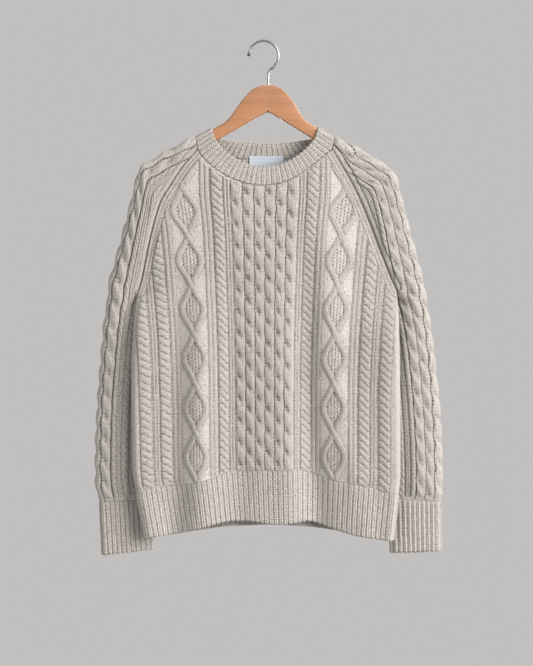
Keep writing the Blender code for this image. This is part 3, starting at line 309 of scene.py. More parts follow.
def across_column(q, inner, outer):
    """Place across a column of the pattern, from -1 to 1 between its edges, and its half width."""
    half = abs(outer - inner) / 2
    return (q - (inner + outer) / 2) / half, half


def add_rope(q, d, inner, outer, lean, tilt):
    """Narrow rope of two strands: leaning lobes with a sharp groove between them."""
    u, half = across_column(q, inner, outer)
    turn = d / ROPE_PITCH - lean * tilt * (u + 0.25 * np.sin(math.pi * u)) / 2
    lobe = np.abs(np.cos(math.pi * turn)) ** 0.4
    # Painted shade in the groove between the lobes and along both sides of the rope.
    between = fine_line(((turn % 1) - 0.5) * ROPE_PITCH, 1.5) * dome(u / 1.05, 0.4)
    dark = np.maximum(between, 0.8 * fine_line((np.abs(u) - 1.02) * half, 1.5))
    return ROPE_LIFT * dome(u, 0.4) * (0.22 + 0.78 * lobe), dark


def add_wave(q, d, inner, outer, period, late, lean, depth):
    """Wide cable column: leaning lobes, parted by grooves of some depth, with oval hollows."""
    u, half = across_column(q, inner, outer)
    crossing = (d - HOLLOW_START) / period + (0.5 if late else 0.0)
    past = ((crossing - lean * 0.26 * (u + HOLLOW_SIDE * lean) + 0.5) % 1 - 0.5) * period
    oval = np.exp(-(past / HOLLOW_LENGTH) ** 2 - ((lean * u + HOLLOW_SIDE) * half / HOLLOW_WIDTH) ** 2)
    groove = ((crossing - lean * 0.34 * (u + lean) + 0.5) % 1 - 0.5) * period
    groove = np.exp(-(groove / GROOVE_WIDTH) ** 2)
    bulge = np.cos(2 * math.pi * (crossing - 0.5 - lean * 0.30 * u))
    lift = 0.86 - 0.70 * oval - 0.5 * depth * groove + 0.7 * depth * bulge
    # Painted shade in the oval hollows and the grooves, with less of it on the bulges.
    dark = 0.80 * oval + 0.10 * groove - 0.30 * (bulge > 0) * bulge
    height = 0.10 + 0.90 * dome(u / 1.02, 0.22 + 0.5 * depth)
    return WAVE_LIFT * height * lift * (np.abs(u) < 1), dark * (np.abs(u) < 1)


def add_twin(q, inner, outer):
    """Two knitted ridges side by side with fine grooves."""
    u, half = across_column(q, inner, outer)
    # Painted shade in the fine grooves between and beside the two ridges.
    dark = np.maximum(fine_line(u * half, 1.3), fine_line((np.abs(u) - 1.0) * half, 1.4))
    return TWIN_LIFT * (dome((u + 0.5) / 0.47) + dome((u - 0.5) / 0.47)), 0.7 * dark


def add_diamond(q, d, middle, lean):
    """Two crossing strands that form a chain of diamonds. Returns the lift, the inside mask and the
    painted shade beside the strands.
    """
    angle = math.pi * (LOWEST_CROSSING - d) / DIAMOND_PERIOD
    # The third harmonic straightens the sides of the diamonds.
    straight = 0.11
    reach = DIAMOND_REACH / (1 + straight)
    swing = reach * (np.sin(angle) - straight * np.sin(3 * angle))
    slope = -reach * math.pi / DIAMOND_PERIOD * (np.cos(angle) - 3 * straight * np.cos(3 * angle))
    stretch = np.sqrt(1 + slope ** 2)
    first = (q - middle - swing) / stretch
    second = (q - middle + swing) / stretch
    first_over = slope * lean > 0
    over = np.where(first_over, first, second)
    under = np.where(first_over, second, first)
    crossing = np.cos(angle) ** 2
    low = dome(under / STRAND_HALF, 0.45) * (1 - crossing * (1 - ease(3.6, 5.4, np.abs(over))))
    high = dome(over / STRAND_HALF, 0.45) * (1 + 0.15 * crossing)
    inside = ease(-1.0, 3.0, np.abs(swing) - STRAND_HALF * 0.7 - np.abs(q - middle))
    # Painted shade in the grooves along the edges of the strands.
    dark = fine_line(np.abs(over) - STRAND_HALF - 0.3, 1.4)
    dark = np.maximum(dark, fine_line(np.abs(under) - STRAND_HALF - 0.3, 1.4)
                      * ease(3.8, 5.2, np.abs(over)))
    return STRAND_LIFT * np.maximum(low, high), inside, 0.35 * dark


def add_pattern(q, d, pattern, period, lean, bottom, depth):
    """
    Lift, moss, knit and painted shade line masks of a whole pattern.

    Q is the offset from its middle line, d the distance down, and bottom the d where it ends.
    """
    lift, moss, knit, lines = (np.zeros_like(q) for _ in range(4))
    for side in (-1, 1):
        for index, (kind, inner, outer) in enumerate(pattern):
            near, far = side * inner, side * outer
            if kind == "rope":
                # The outer ropes on the left lean less than the others.
                tilt = 0.55 if side < 0 and inner > 140 else 0.95
                part, dark = add_rope(q, d, near, far, lean, tilt)
            elif kind == "wave":
                part, dark = add_wave(q, d, near, far, period, (index + (side > 0)) % 2, lean, depth)
            elif kind == "twin":
                part, dark = add_twin(q, near, far)
            else:
                part, inside, dark = add_diamond(q, d, near, lean)
                moss = np.maximum(moss, inside)
            knit = np.maximum(knit, ease(0.05, 0.4, part))
            lines = np.maximum(lines, dark)
            lift = lift + part
    ending = ease(0.0, 7.0, bottom - d)
    return lift * ending, moss * ending, knit, lines * ending


def blurred(field, passes):
    """The field after some passes that mix each value with its four neighbours."""
    for _ in range(passes):
        field = np.pad(field, 1, mode="edge")
        field = (field[:-2, 1:-1] + field[2:, 1:-1] + field[1:-1, :-2] + field[1:-1, 2:]
                 + 2 * field[1:-1, 1:-1]) / 6
    return field


def cavity_shade_of(lift, lines):
    """Painted shade: how far a place lies below the cloth around it, from 0 to 1, with the fine lines of
    painted shade.
    """
    near = blurred(lift, 5) - lift
    wide = blurred(lift, 22) - lift
    hollow = np.clip(near, 0, 1) * 0.50 + np.clip(wide / 2.6, 0, 1) * 0.22
    return np.maximum(hollow, lines)


def path_distance(path, x, z):
    """Distance from many points to one flat path."""
    best = np.full(x.shape, FAR)
    for start, end in zip(path[:-1], path[1:]):
        span = end - start
        share = np.clip(((x - start[0]) * span[0] + (z - start[1]) * span[1]) / (span ** 2).sum(), 0, 1)
        best = np.minimum(best, np.hypot(x - start[0] - span[0] * share, z - start[1] - span[1] * share))
    return best


def rim_faces(fine, coarse, turned):
    """Faces between a fine row of points and another that has one point for each few of them."""
    faces = []
    cells = (len(fine) - 1) // (len(coarse) - 1)
    half = cells // 2
    for step in range(len(coarse) - 1):
        f = fine[step * cells:(step + 1) * cells + 1]
        near, far = coarse[step], coarse[step + 1]
        faces += [(f[k], f[k + 1], near) for k in range(half)]
        faces.append((f[half], far, near))
        faces += [(f[k], f[k + 1], far) for k in range(half, cells)]
    faces = np.array(faces)
    return faces[:, ::-1] if turned else faces


def grid_quads(index):
    corners = [index[:-1, :-1], index[1:, :-1], index[1:, 1:], index[:-1, 1:]]
    return np.stack(corners, axis=-1).reshape(-1, 4)


def make_mesh(name, points, quads, triangles, layers, moved=None):
    """Mesh object from arrays. Layers are UV values per point, and moved welds points."""
    corners = np.concatenate([quads.ravel(), triangles.ravel()]).astype(int)
    starts = np.concatenate([np.arange(len(quads)) * 4, len(quads) * 4 + np.arange(len(triangles)) * 3])
    welded = corners if moved is None else moved[corners]
    used, numbers = np.unique(welded, return_inverse=True)
    mesh = bpy.data.meshes.new(name)
    mesh.vertices.add(len(used))
    mesh.vertices.foreach_set("co", (points[used] * MM).astype(np.float32).ravel())
    mesh.loops.add(len(corners))
    mesh.loops.foreach_set("vertex_index", numbers.ravel().astype(np.int32))
    mesh.polygons.add(len(starts))
    mesh.polygons.foreach_set("loop_start", starts.astype(np.int32))
    mesh.update(calc_edges=True)
    for layer_name, values in layers.items():
        layer = mesh.uv_layers.new(name=layer_name)
        layer.data.foreach_set("uv", values[corners].astype(np.float32).ravel())
    mesh.shade_smooth()
    result = bpy.data.objects.new(name, mesh)
    bpy.context.scene.collection.objects.link(result)
    return result


def cloth_shell(name, outer, inner, stitch, masks, turned, weld_from=None, ring=False):
    """
    Closed cloth wall from a fine outer grid and an inner grid that is as fine or coarser.

    Stitch and masks hold two values for each outer point. From row weld_from on, the first and
    the last column of both grids are the same points. A ring is welded in all its rows.
    """
    rows, columns = outer.shape[:2]
    cells = (rows - 1) // (inner.shape[0] - 1)
    low_rows, low_columns = inner.shape[:2]
    fine = np.arange(rows * columns).reshape(rows, columns)
    coarse = rows * columns + np.arange(low_rows * low_columns).reshape(low_rows, low_columns)
    quads = np.concatenate([grid_quads(fine)[:, ::-1 if turned else 1],
                            grid_quads(coarse)[:, ::1 if turned else -1]])
    triangles = [rim_faces(fine[0], coarse[0], turned), rim_faces(fine[-1], coarse[-1], not turned)]
    moved = None
    if ring:
        weld_from = 0
    if weld_from != 0:
        last = rows if weld_from is None else weld_from + 1
        last_low = low_rows if weld_from is None else weld_from // cells + 1
        triangles.append(rim_faces(fine[:last, 0], coarse[:last_low, 0], not turned))
        triangles.append(rim_faces(fine[:last, -1], coarse[:last_low, -1], turned))
    if weld_from is not None:
        moved = np.arange(fine.size + coarse.size)
        moved[fine[weld_from:, -1]] = fine[weld_from:, 0]
        moved[coarse[weld_from // cells:, -1]] = coarse[weld_from // cells:, 0]
    points = np.concatenate([outer.reshape(-1, 3), inner.reshape(-1, 3)])
    inner_stitch = stitch[::cells, ::cells].reshape(-1, 2)
    inner_masks = masks[::cells, ::cells].reshape(-1, 2) * (1.0 if cells == 1 else 0.0)
    layers = {"stitch": np.concatenate([stitch.reshape(-1, 2), inner_stitch]),
              "masks": np.concatenate([masks.reshape(-1, 2), inner_masks])}
    return make_mesh(name, points, quads, np.concatenate(triangles), layers, moved)


def warped(count, near, share):
    """Places from 0 to 1, closer together within share of both ends by the factor near."""
    t = np.linspace(0, 1, count)
    weight = 1 - (1 - near) * (ease(share, 0, t) + ease(1 - share, 1, t))
    reach = np.concatenate([[0], np.cumsum((weight[1:] + weight[:-1]) / 2)])
    return reach / reach[-1]


def row_heights(path, across, high, low):
    """Height at which each column of the body meets a path, found by halving."""
    high = np.full_like(across, high)
    low = np.full_like(across, low)
    for _ in range(40):
        z = (high + low) / 2
        left, right = body_edges(z)
        above = z > path_height(path, left + across * (right - left))
        high = np.where(above, z, high)
        low = np.where(above, low, z)
    return (high + low) / 2


def side_roll(face, from_left, from_right, z):
    """Forward swell of the cloth that rolls over at the two hanging side edges."""
    below = ease(-UNDERARM_Z + 5, -UNDERARM_Z + 90, -z)
    on_left = (1 - np.exp(-(from_left / EDGE_TURN) ** 2)) * ease(44.0, 6.0, from_left)
    on_right = 1 - np.exp(-(from_right / EDGE_TURN) ** 2)
    if face > 0:
        return below * (2.5 * on_left + 2.0 * on_right * ease(40.0, 11.0, from_right))
    # In front, the cloth rises evenly toward the right edge, from farther away higher up.
    high = ease(740.0, 430.0, -z)
    reach = 60.0 + 40.0 * high
    slope = 0.35 - 0.11 * high
    return below * (6.0 * on_left + slope * on_right * (reach - from_right.clip(8.0)).clip(0))


# Columns: darkness, distance from the raglan seam, half width. Fine lines of painted shade beside the
# seam.
RAGLAN_SHADE_LINES = [(0.75, 1.0, 1.6), (0.5, 6.7, 1.2), (0.6, 12.4, 1.4)]

# Distances from the raglan seam of two knitted bands, and their half width.
RAGLAN_BANDS = (3.4, 10.0)
RAGLAN_BAND_HALF = 1.8

# Heights between which the seams of the neckband and the hem lie.
COLLAR_SPAN = (-160.0, -260.0)
HEM_SPAN = (-640.0, -780.0)
PATTERN_END = 800.0    # below the hem's seam, so the body's pattern runs on to the seam


def build_body(name, face, columns, rows):
    """Front or back panel between the collar, the raglan or side seams and the hem."""
    across = warped(columns, 0.35, 0.03)
    collar = smooth_path(FRONT_COLLAR if face < 0 else BACK_COLLAR, 80)
    top = row_heights(collar, across, *COLLAR_SPAN) - SEAM_GAP / 2
    bottom = row_heights(HEM_PATH, across, *HEM_SPAN) + SEAM_GAP / 4
    share = warped(rows, 0.6, 0.015)[:, None]
    z = top + (bottom - top) * share
    left, right = body_edges(z)
    inset = SEAM_GAP / 2
    x = left + inset + (right - left - 2 * inset) * across[None, :]
    spread_left, spread_right = read_spread(z)
    q = (x - CENTRE_X) / np.where(x < CENTRE_X, spread_left, spread_right)
    d = -z

    heights = np.linspace(COLLAR_Z, UNDERARM_Z, 40)
    raglan = np.full(x.shape, FAR)
    for column in (0, 1):
        path = np.stack([read_raglan(heights)[column], heights], axis=1)
        raglan = np.minimum(raglan, path_distance(path, x, z))
    to_collar = np.maximum(top[None, :] - z, 0)
    to_hem = np.maximum(z - bottom[None, :], 0)
    edge = np.minimum(x - left, right - x) + np.where(z > UNDERARM_Z, 50.0, 0.0)

    relief, moss, knit, lines = add_pattern(q, d, BODY_PATTERN, BODY_WAVE_PERIOD, -face,
                                            PATTERN_END, BODY_GROOVE)
    on_bands = ease(BAND_END, 11.0, raglan)
    inside = (1 - on_bands) * ease(4.0, 9.0, edge) * ease(1.0, 5.0, to_collar)
    inside = inside * (0.35 + 0.65 * ease(0.0, 6.0, to_hem))
    relief = relief * inside
    moss = moss * inside
    # Painted shade along the collar seam and in fine lines beside the raglan seam.
    lines = np.maximum(lines * inside, 0.7 * fine_line(to_collar - 0.5, 2.0))
    for darkness, distance, half_width in RAGLAN_SHADE_LINES:
        lines = np.maximum(lines, darkness * fine_line(raglan - distance, half_width))
    bands = sum(dome((raglan - distance) / RAGLAN_BAND_HALF) for distance in RAGLAN_BANDS)
    relief = relief + BAND_LIFT * bands - 0.8 * dome((raglan - RAGLAN_SHADE_LINES[-1][1]) / 1.2)
    relief = relief - 1.5 * (1 - ease(0.0, 2.4, raglan)) - 1.0 * (1 - ease(0.0, 2.0, to_collar))
    relief = relief - 0.5 * (1 - ease(0.0, 2.0, to_hem))
    knit = np.maximum(knit * inside, np.maximum(on_bands, ease(14, 8, edge)))
    # Painted shade in the hollows of the relief and along these lines.
    cavity_shade = cavity_shade_of(relief, lines)
    lift = (WALL + relief) * np.maximum(rounded(edge, EDGE_TURN), 0.02)
    base = body_depth(face, x, z) + face * side_roll(face, x - left, right - x, z)
    outer = np.stack([x, base + face * lift, z], axis=-1)
    inner = np.stack([x, base, z], axis=-1)[::COARSE, ::COARSE]
    stitch = np.stack([q, d], axis=-1)
    masks = np.stack([cavity_shade, np.where(moss > 0.5, 0.5 + moss / 2, 0.5 - 0.5 * knit)], axis=-1)
    return cloth_shell(name, outer, inner, stitch, masks, face > 0)


def section_points(share, width, radius, bulge, seam_half, closed):
    """
    Points and normals of a sleeve section at the shares from -1 (front seam) to 1 (back seam).

    A closed section meets itself at the seam, and an open one is seam_half away from the middle.
    """
    flat = width - radius
    arc = math.pi * radius / 2
    travel = np.abs(share) * (arc + flat)
    side = np.where(share < 0, -1.0, 1.0)
    angle = travel / radius

    def depth(c):
        swell = bulge * 6.75 * c * c * (1 - c)
        opened = radius + (seam_half - radius) * c * c + swell
        shut = (radius + swell) * np.sqrt(np.clip(1 - c ** 4, 0, None))
        return opened * (1 - closed) + shut * closed

    c = np.clip((travel - arc) / flat, 0.0, 1.0)
    ahead, behind = np.minimum(c + 0.01, 1.0), np.maximum(c - 0.01, 0.0)
    slope = (depth(ahead) - depth(behind)) / (ahead - behind)
    along_n, depth_n = slope, np.full_like(slope, flat)
    size = np.hypot(along_n, depth_n)
    along_n, depth_n = along_n / size, depth_n / size
    if seam_half > 0:
        along_n, depth_n = along_n * (1 - c ** 8), depth_n * (1 - c ** 8) + c ** 8
    else:
        along_n, depth_n = np.where(c > 0.9999, -1.0, along_n), np.where(c > 0.9999, 0.0, depth_n)
    size = np.hypot(along_n, depth_n)
    on_arc = travel <= arc
    along = np.where(on_arc, flat + radius * np.cos(angle), flat * (1 - c))
    deep = side * np.where(on_arc, radius * np.sin(angle), depth(c))
    normal_along = np.where(on_arc, np.cos(angle), along_n / size)
    normal_deep = side * np.where(on_arc, np.sin(angle), depth_n / size)
    return along, deep, normal_along, normal_deep


def section_line(seam, fold, section, shift=0.0, drop=0.0):
    """Points and normals, in space, of a section that reaches from the seam to the outer fold."""
    along = (fold - seam) / np.linalg.norm(fold - seam)
    a, deep, normal_a, normal_deep = section
    points = np.stack([seam[0] + along[0] * a, deep + shift, seam[1] + along[1] * a - drop], axis=-1)
    normals = np.stack([along[0] * normal_a, normal_deep, along[1] * normal_a], axis=-1)
    return points, normals


def section_width(seam, fold):
    return float(np.linalg.norm(fold - seam)) - WALL


class Sleeve:
    """The form of one sleeve, read by its level and by the share around its section."""

    def __init__(self, side):
        self.side = side
        rows = SLEEVES[side]
        self.read = smooth_reader(rows)
        self.levels = np.linspace(rows[0][0], rows[-1][0], 80)
        middles = [(self.ends(level)[0] + 2 * self.ends(level)[1]) / 3 for level in self.levels]
        steps = np.linalg.norm(np.diff(np.array(middles), axis=0), axis=1)
        self.downs = np.concatenate([[0], np.cumsum(steps)])
        self.length = float(self.downs[-1])

    def ends(self, level):
        """Seam side point and outer fold point of the section, in the x, z plane."""
        inner_x, outer_x, outer_z = self.read(level)[:3]
        if level >= UNDERARM_Z:
            inner_x = read_raglan(level)[0 if self.side == "left" else 1]
        return np.array([float(inner_x), level]), np.array([float(outer_x), float(outer_z)])

    def level_at(self, down):
        return float(np.interp(down, self.downs, self.levels))

    def section(self, level):
        seam, fold = self.ends(level)
        radius, bulge, shift = (float(value) for value in self.read(level)[3:])
        return seam, fold, section_width(seam, fold), radius, bulge, shift

    def half_girth(self, down):
        _, _, width, radius, _, _ = self.section(self.level_at(down))
        return width - radius + math.pi * radius / 2

    def row(self, share, down, lifts):
        """Points of one section, with the outer side lifted by each of the lifts."""
        level = self.level_at(down)
        seam, fold, width, radius, bulge, shift = self.section(level)
        closed = float(ease(-UNDERARM_Z, -UNDERARM_Z + 60, -level))
        seam_half = float(read_depths(level)[2]) if level > UNDERARM_Z + 0.5 else 0.0
        fold_shift = SLEEVE_BACK * float(ease(240, 560, -level))
        shifts = fold_shift + (shift - fold_shift) * share * share
        outward = 0.6 * SEAM_GAP
        if level <= UNDERARM_Z + 0.5:
            outward = SEAM_GAP * (1 - float(ease(-UNDERARM_Z, -UNDERARM_Z + 26, -level)))
        outward = -outward if self.side == "left" else outward
        a, deep, normal_a, normal_deep = section_points(share, width, radius, bulge, seam_half, closed)
        along = (fold - seam) / np.linalg.norm(fold - seam)
        drop = 0.5 * SEAM_GAP * float(ease(0, 30, 30 - down))
        result = []
        for lift in lifts:
            reach = a + normal_a * lift
            result.append(np.stack([seam[0] + along[0] * reach + outward * share * share,
                                    deep + normal_deep * lift + shifts,
                                    seam[1] + along[1] * reach - drop], axis=-1))
        return result


def sleeve_creases(side, p, share, down):
    """Roundness of the hanging sleeve, and its soft leaning troughs and ridges."""
    lean = 1.0 if side == "right" else -1.0
    reach = np.abs(share)
    if side == "right":
        crown = 5.5 * dome((reach - 0.42) / 0.46, 1.2)
    else:
        crown = 3.0 * dome((reach - 0.36) / 0.36, 1.0) - 1.5 * dome((reach - 0.85) / 0.2, 1.0)
    swell = ease(220, 330, down) * crown * np.where(share < 0, 1.0, 0.5)
    swell = swell + 0.9 * np.sin((down + lean * 0.7 * p) / 46 + 0.8) * np.sin(p / 24 + down / 160)
    near_arm = ease(170, 250, down) * ease(420, 300, down)
    swell = swell - 1.8 * near_arm * np.exp(-(((down - 300) - lean * 1.1 * p) / 16) ** 2)
    swell = swell - 1.3 * near_arm * np.exp(-(((down - 352) - lean * 0.8 * p) / 14) ** 2)
    low = ease(480, 560, down)
    return swell + low * 1.1 * np.cos(p / 15 + 1.1 * lean)


def build_sleeve(side, columns, rows):
    """Sleeve from the collar to the cuff, open along the raglan seam and a tube below it."""
    form = Sleeve(side)
    downs = np.linspace(0, form.length, rows)
    levels = np.array([form.level_at(down) for down in downs])
    girth = np.array([form.half_girth(down) for down in downs])[:, None]
    weld_row = int(math.ceil(np.argmax(levels <= UNDERARM_Z + 0.5) / COARSE)) * COARSE
    share = np.linspace(-1, 1, columns)[None, :]
    a = girth * share
    down = np.repeat(downs[:, None], columns, axis=1)
    p = a - PANEL_SHIFT[side] * ease(0, 60, down)
    lean = 1 if side == "right" else -1
    relief, moss, knit, lines = add_pattern(p, down, SLEEVE_PATTERN, SLEEVE_WAVE_PERIOD, lean,
                                            form.length - 3.0, SLEEVE_GROOVE)
    seam = (girth - np.abs(a)) * 0.85
    below = (down - downs[weld_row]).clip(0)
    raglan = seam + 1.5 * below
    fading = ease(12.0, 0.0, below)
    inside = ease(7.0, 9.0, raglan) * ease(0.0, 5.0, down)
    relief = relief * inside * SLEEVE_GAIN
    relief = relief + BAND_LIFT * fading * dome((raglan - 4.0) / 2.6)
    relief = relief - 0.8 * fading * dome((raglan - SLEEVE_LINE) / 1.2)
    relief = relief - 1.5 * (1 - ease(0.0, 2.4, seam)) * fading
    relief = relief - 1.0 * (1 - ease(0.0, 2.0, down)) - 0.5 * ease(form.length - 2, form.length, down)
    relief = relief - 1.2 * dome(seam / 2.0) * (1 - fading)
    knit = np.maximum(knit * inside, ease(9.0, 7.0, raglan))
    # Painted shade in a fine line beside the raglan seam and along the top edge.
    lines = np.maximum(lines * inside, 0.6 * fading * fine_line(raglan - SLEEVE_LINE, 1.4))
    lines = np.maximum(lines, 0.7 * fine_line(down - 0.5, 2.0))
    # Painted shade in the hollows of the relief and along these lines.
    cavity_shade = cavity_shade_of(relief, lines)
    creases = sleeve_creases(side, p, share, down) * ease(4, 26, seam) * ease(6, 40, down)
    creases = creases * ease(0, 30, form.length - down)
    outer = np.empty((rows, columns, 3))
    inner = np.empty((rows, columns, 3))
    for row in range(rows):
        lifts = [WALL + relief[row] + creases[row], creases[row]]
        outer[row], inner[row] = form.row(share[0], downs[row], lifts)
    stitch = np.stack([p, down], axis=-1)
    masks = np.stack([cavity_shade, 0.5 - 0.5 * knit], axis=-1)
    return cloth_shell("knit_sleeve_" + side, outer, inner[::COARSE, ::COARSE], stitch, masks,
                       True, weld_row)


def rib_profile(turns):
    """Raised knit column and narrow groove of ribbing, once for each whole turn."""
    return np.abs(np.cos(math.pi * turns)) ** 0.62


def rib_strip(name, starts, ends, normals_start, normals_end, turns, rows, ring, turned, rib_lift):
    """
    Ribbed strip between two lines of points, with ribs rib_lift high.

    Starts and ends are points of the inner wall along the seam and along the free edge.
    """
    columns = len(starts)
    share = np.linspace(0, 1, rows)[:, None, None]
    base = starts[None] * (1 - share) + ends[None] * share
    normal = normals_start[None] * (1 - share) + normals_end[None] * share
    normal = normal / np.linalg.norm(normal, axis=-1, keepdims=True)
    profile = rib_profile(turns)[None, :]
    length = np.linalg.norm(ends - starts, axis=-1).mean()
    down = share[..., 0] * length
    ripple = 1.3 * (profile - 0.6) * ease(0.80, 1.0, share[..., 0])
    base = base + ((ends - starts) / length)[None] * ripple[..., None]
    relief = rib_lift * profile * (0.55 + 0.45 * ease(0, 5, down))
    relief = relief - 0.4 * (1 - ease(0, 1.8, down))
    lift = (RIB_WALL + relief) * rounded(length - down, 1.8, 0.05)
    outer = base + normal * lift[..., None]
    behind = RIB_INSIDE * rib_profile(turns + 0.5)[None, :] * ease(0, 4, down) * ease(0, 3, length - down)
    inner = base - normal * behind[..., None]
    stitch = np.stack([np.repeat(turns[None, :] * RIB_PITCH, rows, axis=0),
                       np.repeat(down, columns, axis=1)], axis=-1)
    # Painted shade in the grooves between the ribs.
    cavity_shade = np.repeat(np.clip(1 - profile * 1.1, 0, 1), rows, axis=0)
    masks = np.stack([cavity_shade * 0.60, np.zeros_like(cavity_shade)], axis=-1)
    return cloth_shell(name, outer, inner, stitch, masks, turned, ring=ring)


def build_hem(name, face, ribs, rows):
    """Ribbed hem of the front or the back, from its seam to the free lower edge."""
    edge_path = HEM_FRONT_EDGE if face < 0 else HEM_BACK_EDGE
    across = np.linspace(0, 1, ribs * RIB_POINTS + 1)
    lines = []
    for seam in (True, False):
        if seam:
            zs = [path_height(HEM_PATH, end) for end in HEM_ENDS]
        else:
            zs = [edge_path[0, 1], edge_path[-1, 1]]
        left = float(read_sides(zs[0])[0]) + SEAM_GAP / 2
        right = float(read_sides(zs[1])[1]) - SEAM_GAP / 2
        x = left + (right - left) * across
        z = path_height(HEM_PATH, x) - SEAM_GAP / 4 if seam else path_height(edge_path, x)
        depth = body_depth(face, x, z) + face * side_roll(face, x - left, right - x, z)
        lines.append(np.stack([x, depth, z], axis=-1))
    edge = np.minimum(across, 1 - across) * BODY_WIDTH
    normals = np.zeros((len(across), 3))
    normals[:, 1] = face * rounded(edge, EDGE_TURN, 0.02)
    turned = np.clip(1 - edge / EDGE_TURN, 0, 1) * np.where(across < 0.5, -1.0, 1.0)
    normals[:, 0] = turned * 0.25
    return rib_strip(name, lines[0], lines[1], normals, normals, across * ribs + 0.5, rows,
                     False, face > 0, RIB_LIFT)


def build_cuff(side, ribs, rows):
    """Ribbed tube from the end of the sleeve to the open end of the cuff."""
    seam, fold, width, radius, bulge, shift = Sleeve(side).section(SLEEVES[side][-1][0])
    end = CUFF_ENDS[side]
    end_seam, end_fold = np.array(end[0:2]), np.array(end[2:4])
    share = np.linspace(-1, 1, ribs * RIB_POINTS + 1)
    top = section_points(share, width, radius, bulge, 0.0, 1.0)
    foot = section_points(share, section_width(end_seam, end_fold), end[4], end[5], 0.0, 1.0)
    starts, normals_start = section_line(seam, fold, top, shift, SEAM_GAP)
    ends, normals_end = section_line(end_seam, end_fold, foot, shift)
    return rib_strip("knit_cuff_" + side, starts, ends, normals_start, normals_end,
                     (share + 1) / 2 * ribs, rows, True, True, RIB_LIFT * 1.6)


HANGER_X = 5.9
CROWN_Z = -69.3    # top of the wood
JOIN_DROP = 59.2   # from the top down to the start of the straight arms
ARM_PLAY = 0.45    # between an arm and the neckband over it

# By side: distance of the arm's start from the middle, slope of its top, slope of its underside.
ARMS = {-1: (69.4, 0.565, 0.57), 1: (63.4, 0.605, 0.62)}

# Where the neckband's free edge passes over each arm.
NECK_TOP_X = {"left": -85.0, "right": 86.2}


def shoulder_arc(side, seam_line, count):
    """Points and normals of the neckband over one arm, from the front to the back."""
    sign = 1 if side == "right" else -1
    seam, fold, width, radius, bulge, _ = Sleeve(side).section(COLLAR_Z)
    if not seam_line:
        seam = np.array(FRONT_FREE[-1] if side == "right" else FRONT_FREE[0], dtype=float)
        begin, slope, _ = ARMS[sign]
        top_x = NECK_TOP_X[side]
        arm_z = CROWN_Z - JOIN_DROP - slope * (abs(top_x - HANGER_X) - begin)
        fold = np.array([top_x, arm_z + (ARM_PLAY + WALL) * math.hypot(1, slope)])
        width = section_width(seam, fold)
    seam_half = float(read_depths(COLLAR_Z)[2])
    share = np.linspace(-1, 1, count)
    return section_line(seam, fold, section_points(share, width, radius, bulge, seam_half, 0.0))


def free_edge_depth(face, x, z):
    """Depth of the neckband's free edge, which leans a little into the neck at its middle."""
    return body_depth(face, x * 1.1, z) - face * 1.5 * (1 - (x / 85) ** 2)


def flat_stretch(rows, face, count, free):
    """Points and normals of the neckband on the front or the back, at its seam or free edge."""
    path = smooth_path(rows, count)
    x, z = path[:, 0], path[:, 1]
    low_z = np.minimum(z, COLLAR_Z) - (10 if face > 0 else 0)
    depth = (free_edge_depth if free else body_depth)(face, x, low_z)
    normals = np.zeros((count, 3))
    normals[:, 1] = face
    return np.stack([x, depth, z], axis=-1), normals


def neck_line(free, counts):
    """Points and normals all round the neckband, at its seam or its free edge."""
    front = flat_stretch(FRONT_FREE if free else FRONT_COLLAR, -1, counts[0], free)
    right = shoulder_arc("right", not free, counts[1])
    back = flat_stretch(BACK_FREE if free else BACK_COLLAR, 1, counts[2], free)
    left = shoulder_arc("left", not free, counts[1])
    points = [front[0], right[0][1:], back[0][::-1][1:], left[0][::-1][1:]]
    normals = [front[1], right[1][1:], back[1][::-1][1:], left[1][::-1][1:]]
    return np.concatenate(points), np.concatenate(normals)


def build_neckband(rows):
    """Ribbed ring round the neck, which passes over both arms of the hanger."""
    counts = [ribs * RIB_POINTS + 1 for ribs in (28, 6, 22)]
    starts, normals_start = neck_line(False, counts)
    ends, normals_end = neck_line(True, counts)
    up = (ends - starts) / np.linalg.norm(ends - starts, axis=-1, keepdims=True)
    starts = starts + up * SEAM_GAP
    turns = np.arange(len(starts)) / RIB_POINTS
    return rib_strip("knit_neckband", starts, ends, normals_start, normals_end, turns, rows, True,
                     False, RIB_LIFT * 0.75)


# Columns: share of the way to the arm, drop below the crown.
CROWN = [(0.00, 0.0), (0.20, -1.7), (0.30, -4.4), (0.40, -8.9), (0.52, -17.5), (0.64, -27.5),
         (0.77, -40.5), (0.88, -51.0), (1.00, -59.2)]
WOOD_HALF = 6.0      # half of the wood's thickness
ARM_REACH = 200.0    # from the middle to the end of an arm
ARM_END = 14.0       # length of the rounded end of an arm
TIP_SHARE = 0.28     # height of an arm's tip, as a share of its full height
TIP_DROP = 4.0
APEX_Z = -112.8      # peak of the wood's underside
APEX_ROUND = 3.0
APEX_LIFT = 1.8
EDGE_ROUND = 2.2
CORNER_POINTS = 6
HOOK_RADIUS = 23.7
WIRE_RADIUS = 2.1
WIRE_SIDES = 20
TIP_RADIUS = 2.9
HOOK_X = -1.3


def arm_top(sign, distance):
    """Height of the wood's top at a distance from its middle."""
    begin, slope, _ = ARMS[sign]
    crown = smooth_path([(share * begin, drop) for share, drop in CROWN], 60)
    on_crown = np.interp(distance, crown[:, 0], crown[:, 1])
    straight = -JOIN_DROP - slope * (distance - begin)
    return CROWN_Z + np.where(distance <= begin, on_crown, straight)


def closed_tube(rings):
    """Points, quads and triangles of a tube with closed ends, from its rings of points."""
    count, sides = rings.shape[:2]
    index = np.arange(count * sides).reshape(count, sides)
    index = np.concatenate([index, index[:, :1]], axis=1)
    caps = [(count * sides, a, b) for a, b in zip(index[0, :-1], index[0, 1:])]
    caps += [(count * sides + 1, b, a) for a, b in zip(index[-1, :-1], index[-1, 1:])]
    points = np.concatenate([rings.reshape(-1, 3), rings[[0, -1]].mean(axis=1)])
    return points, grid_quads(index), np.array(caps)


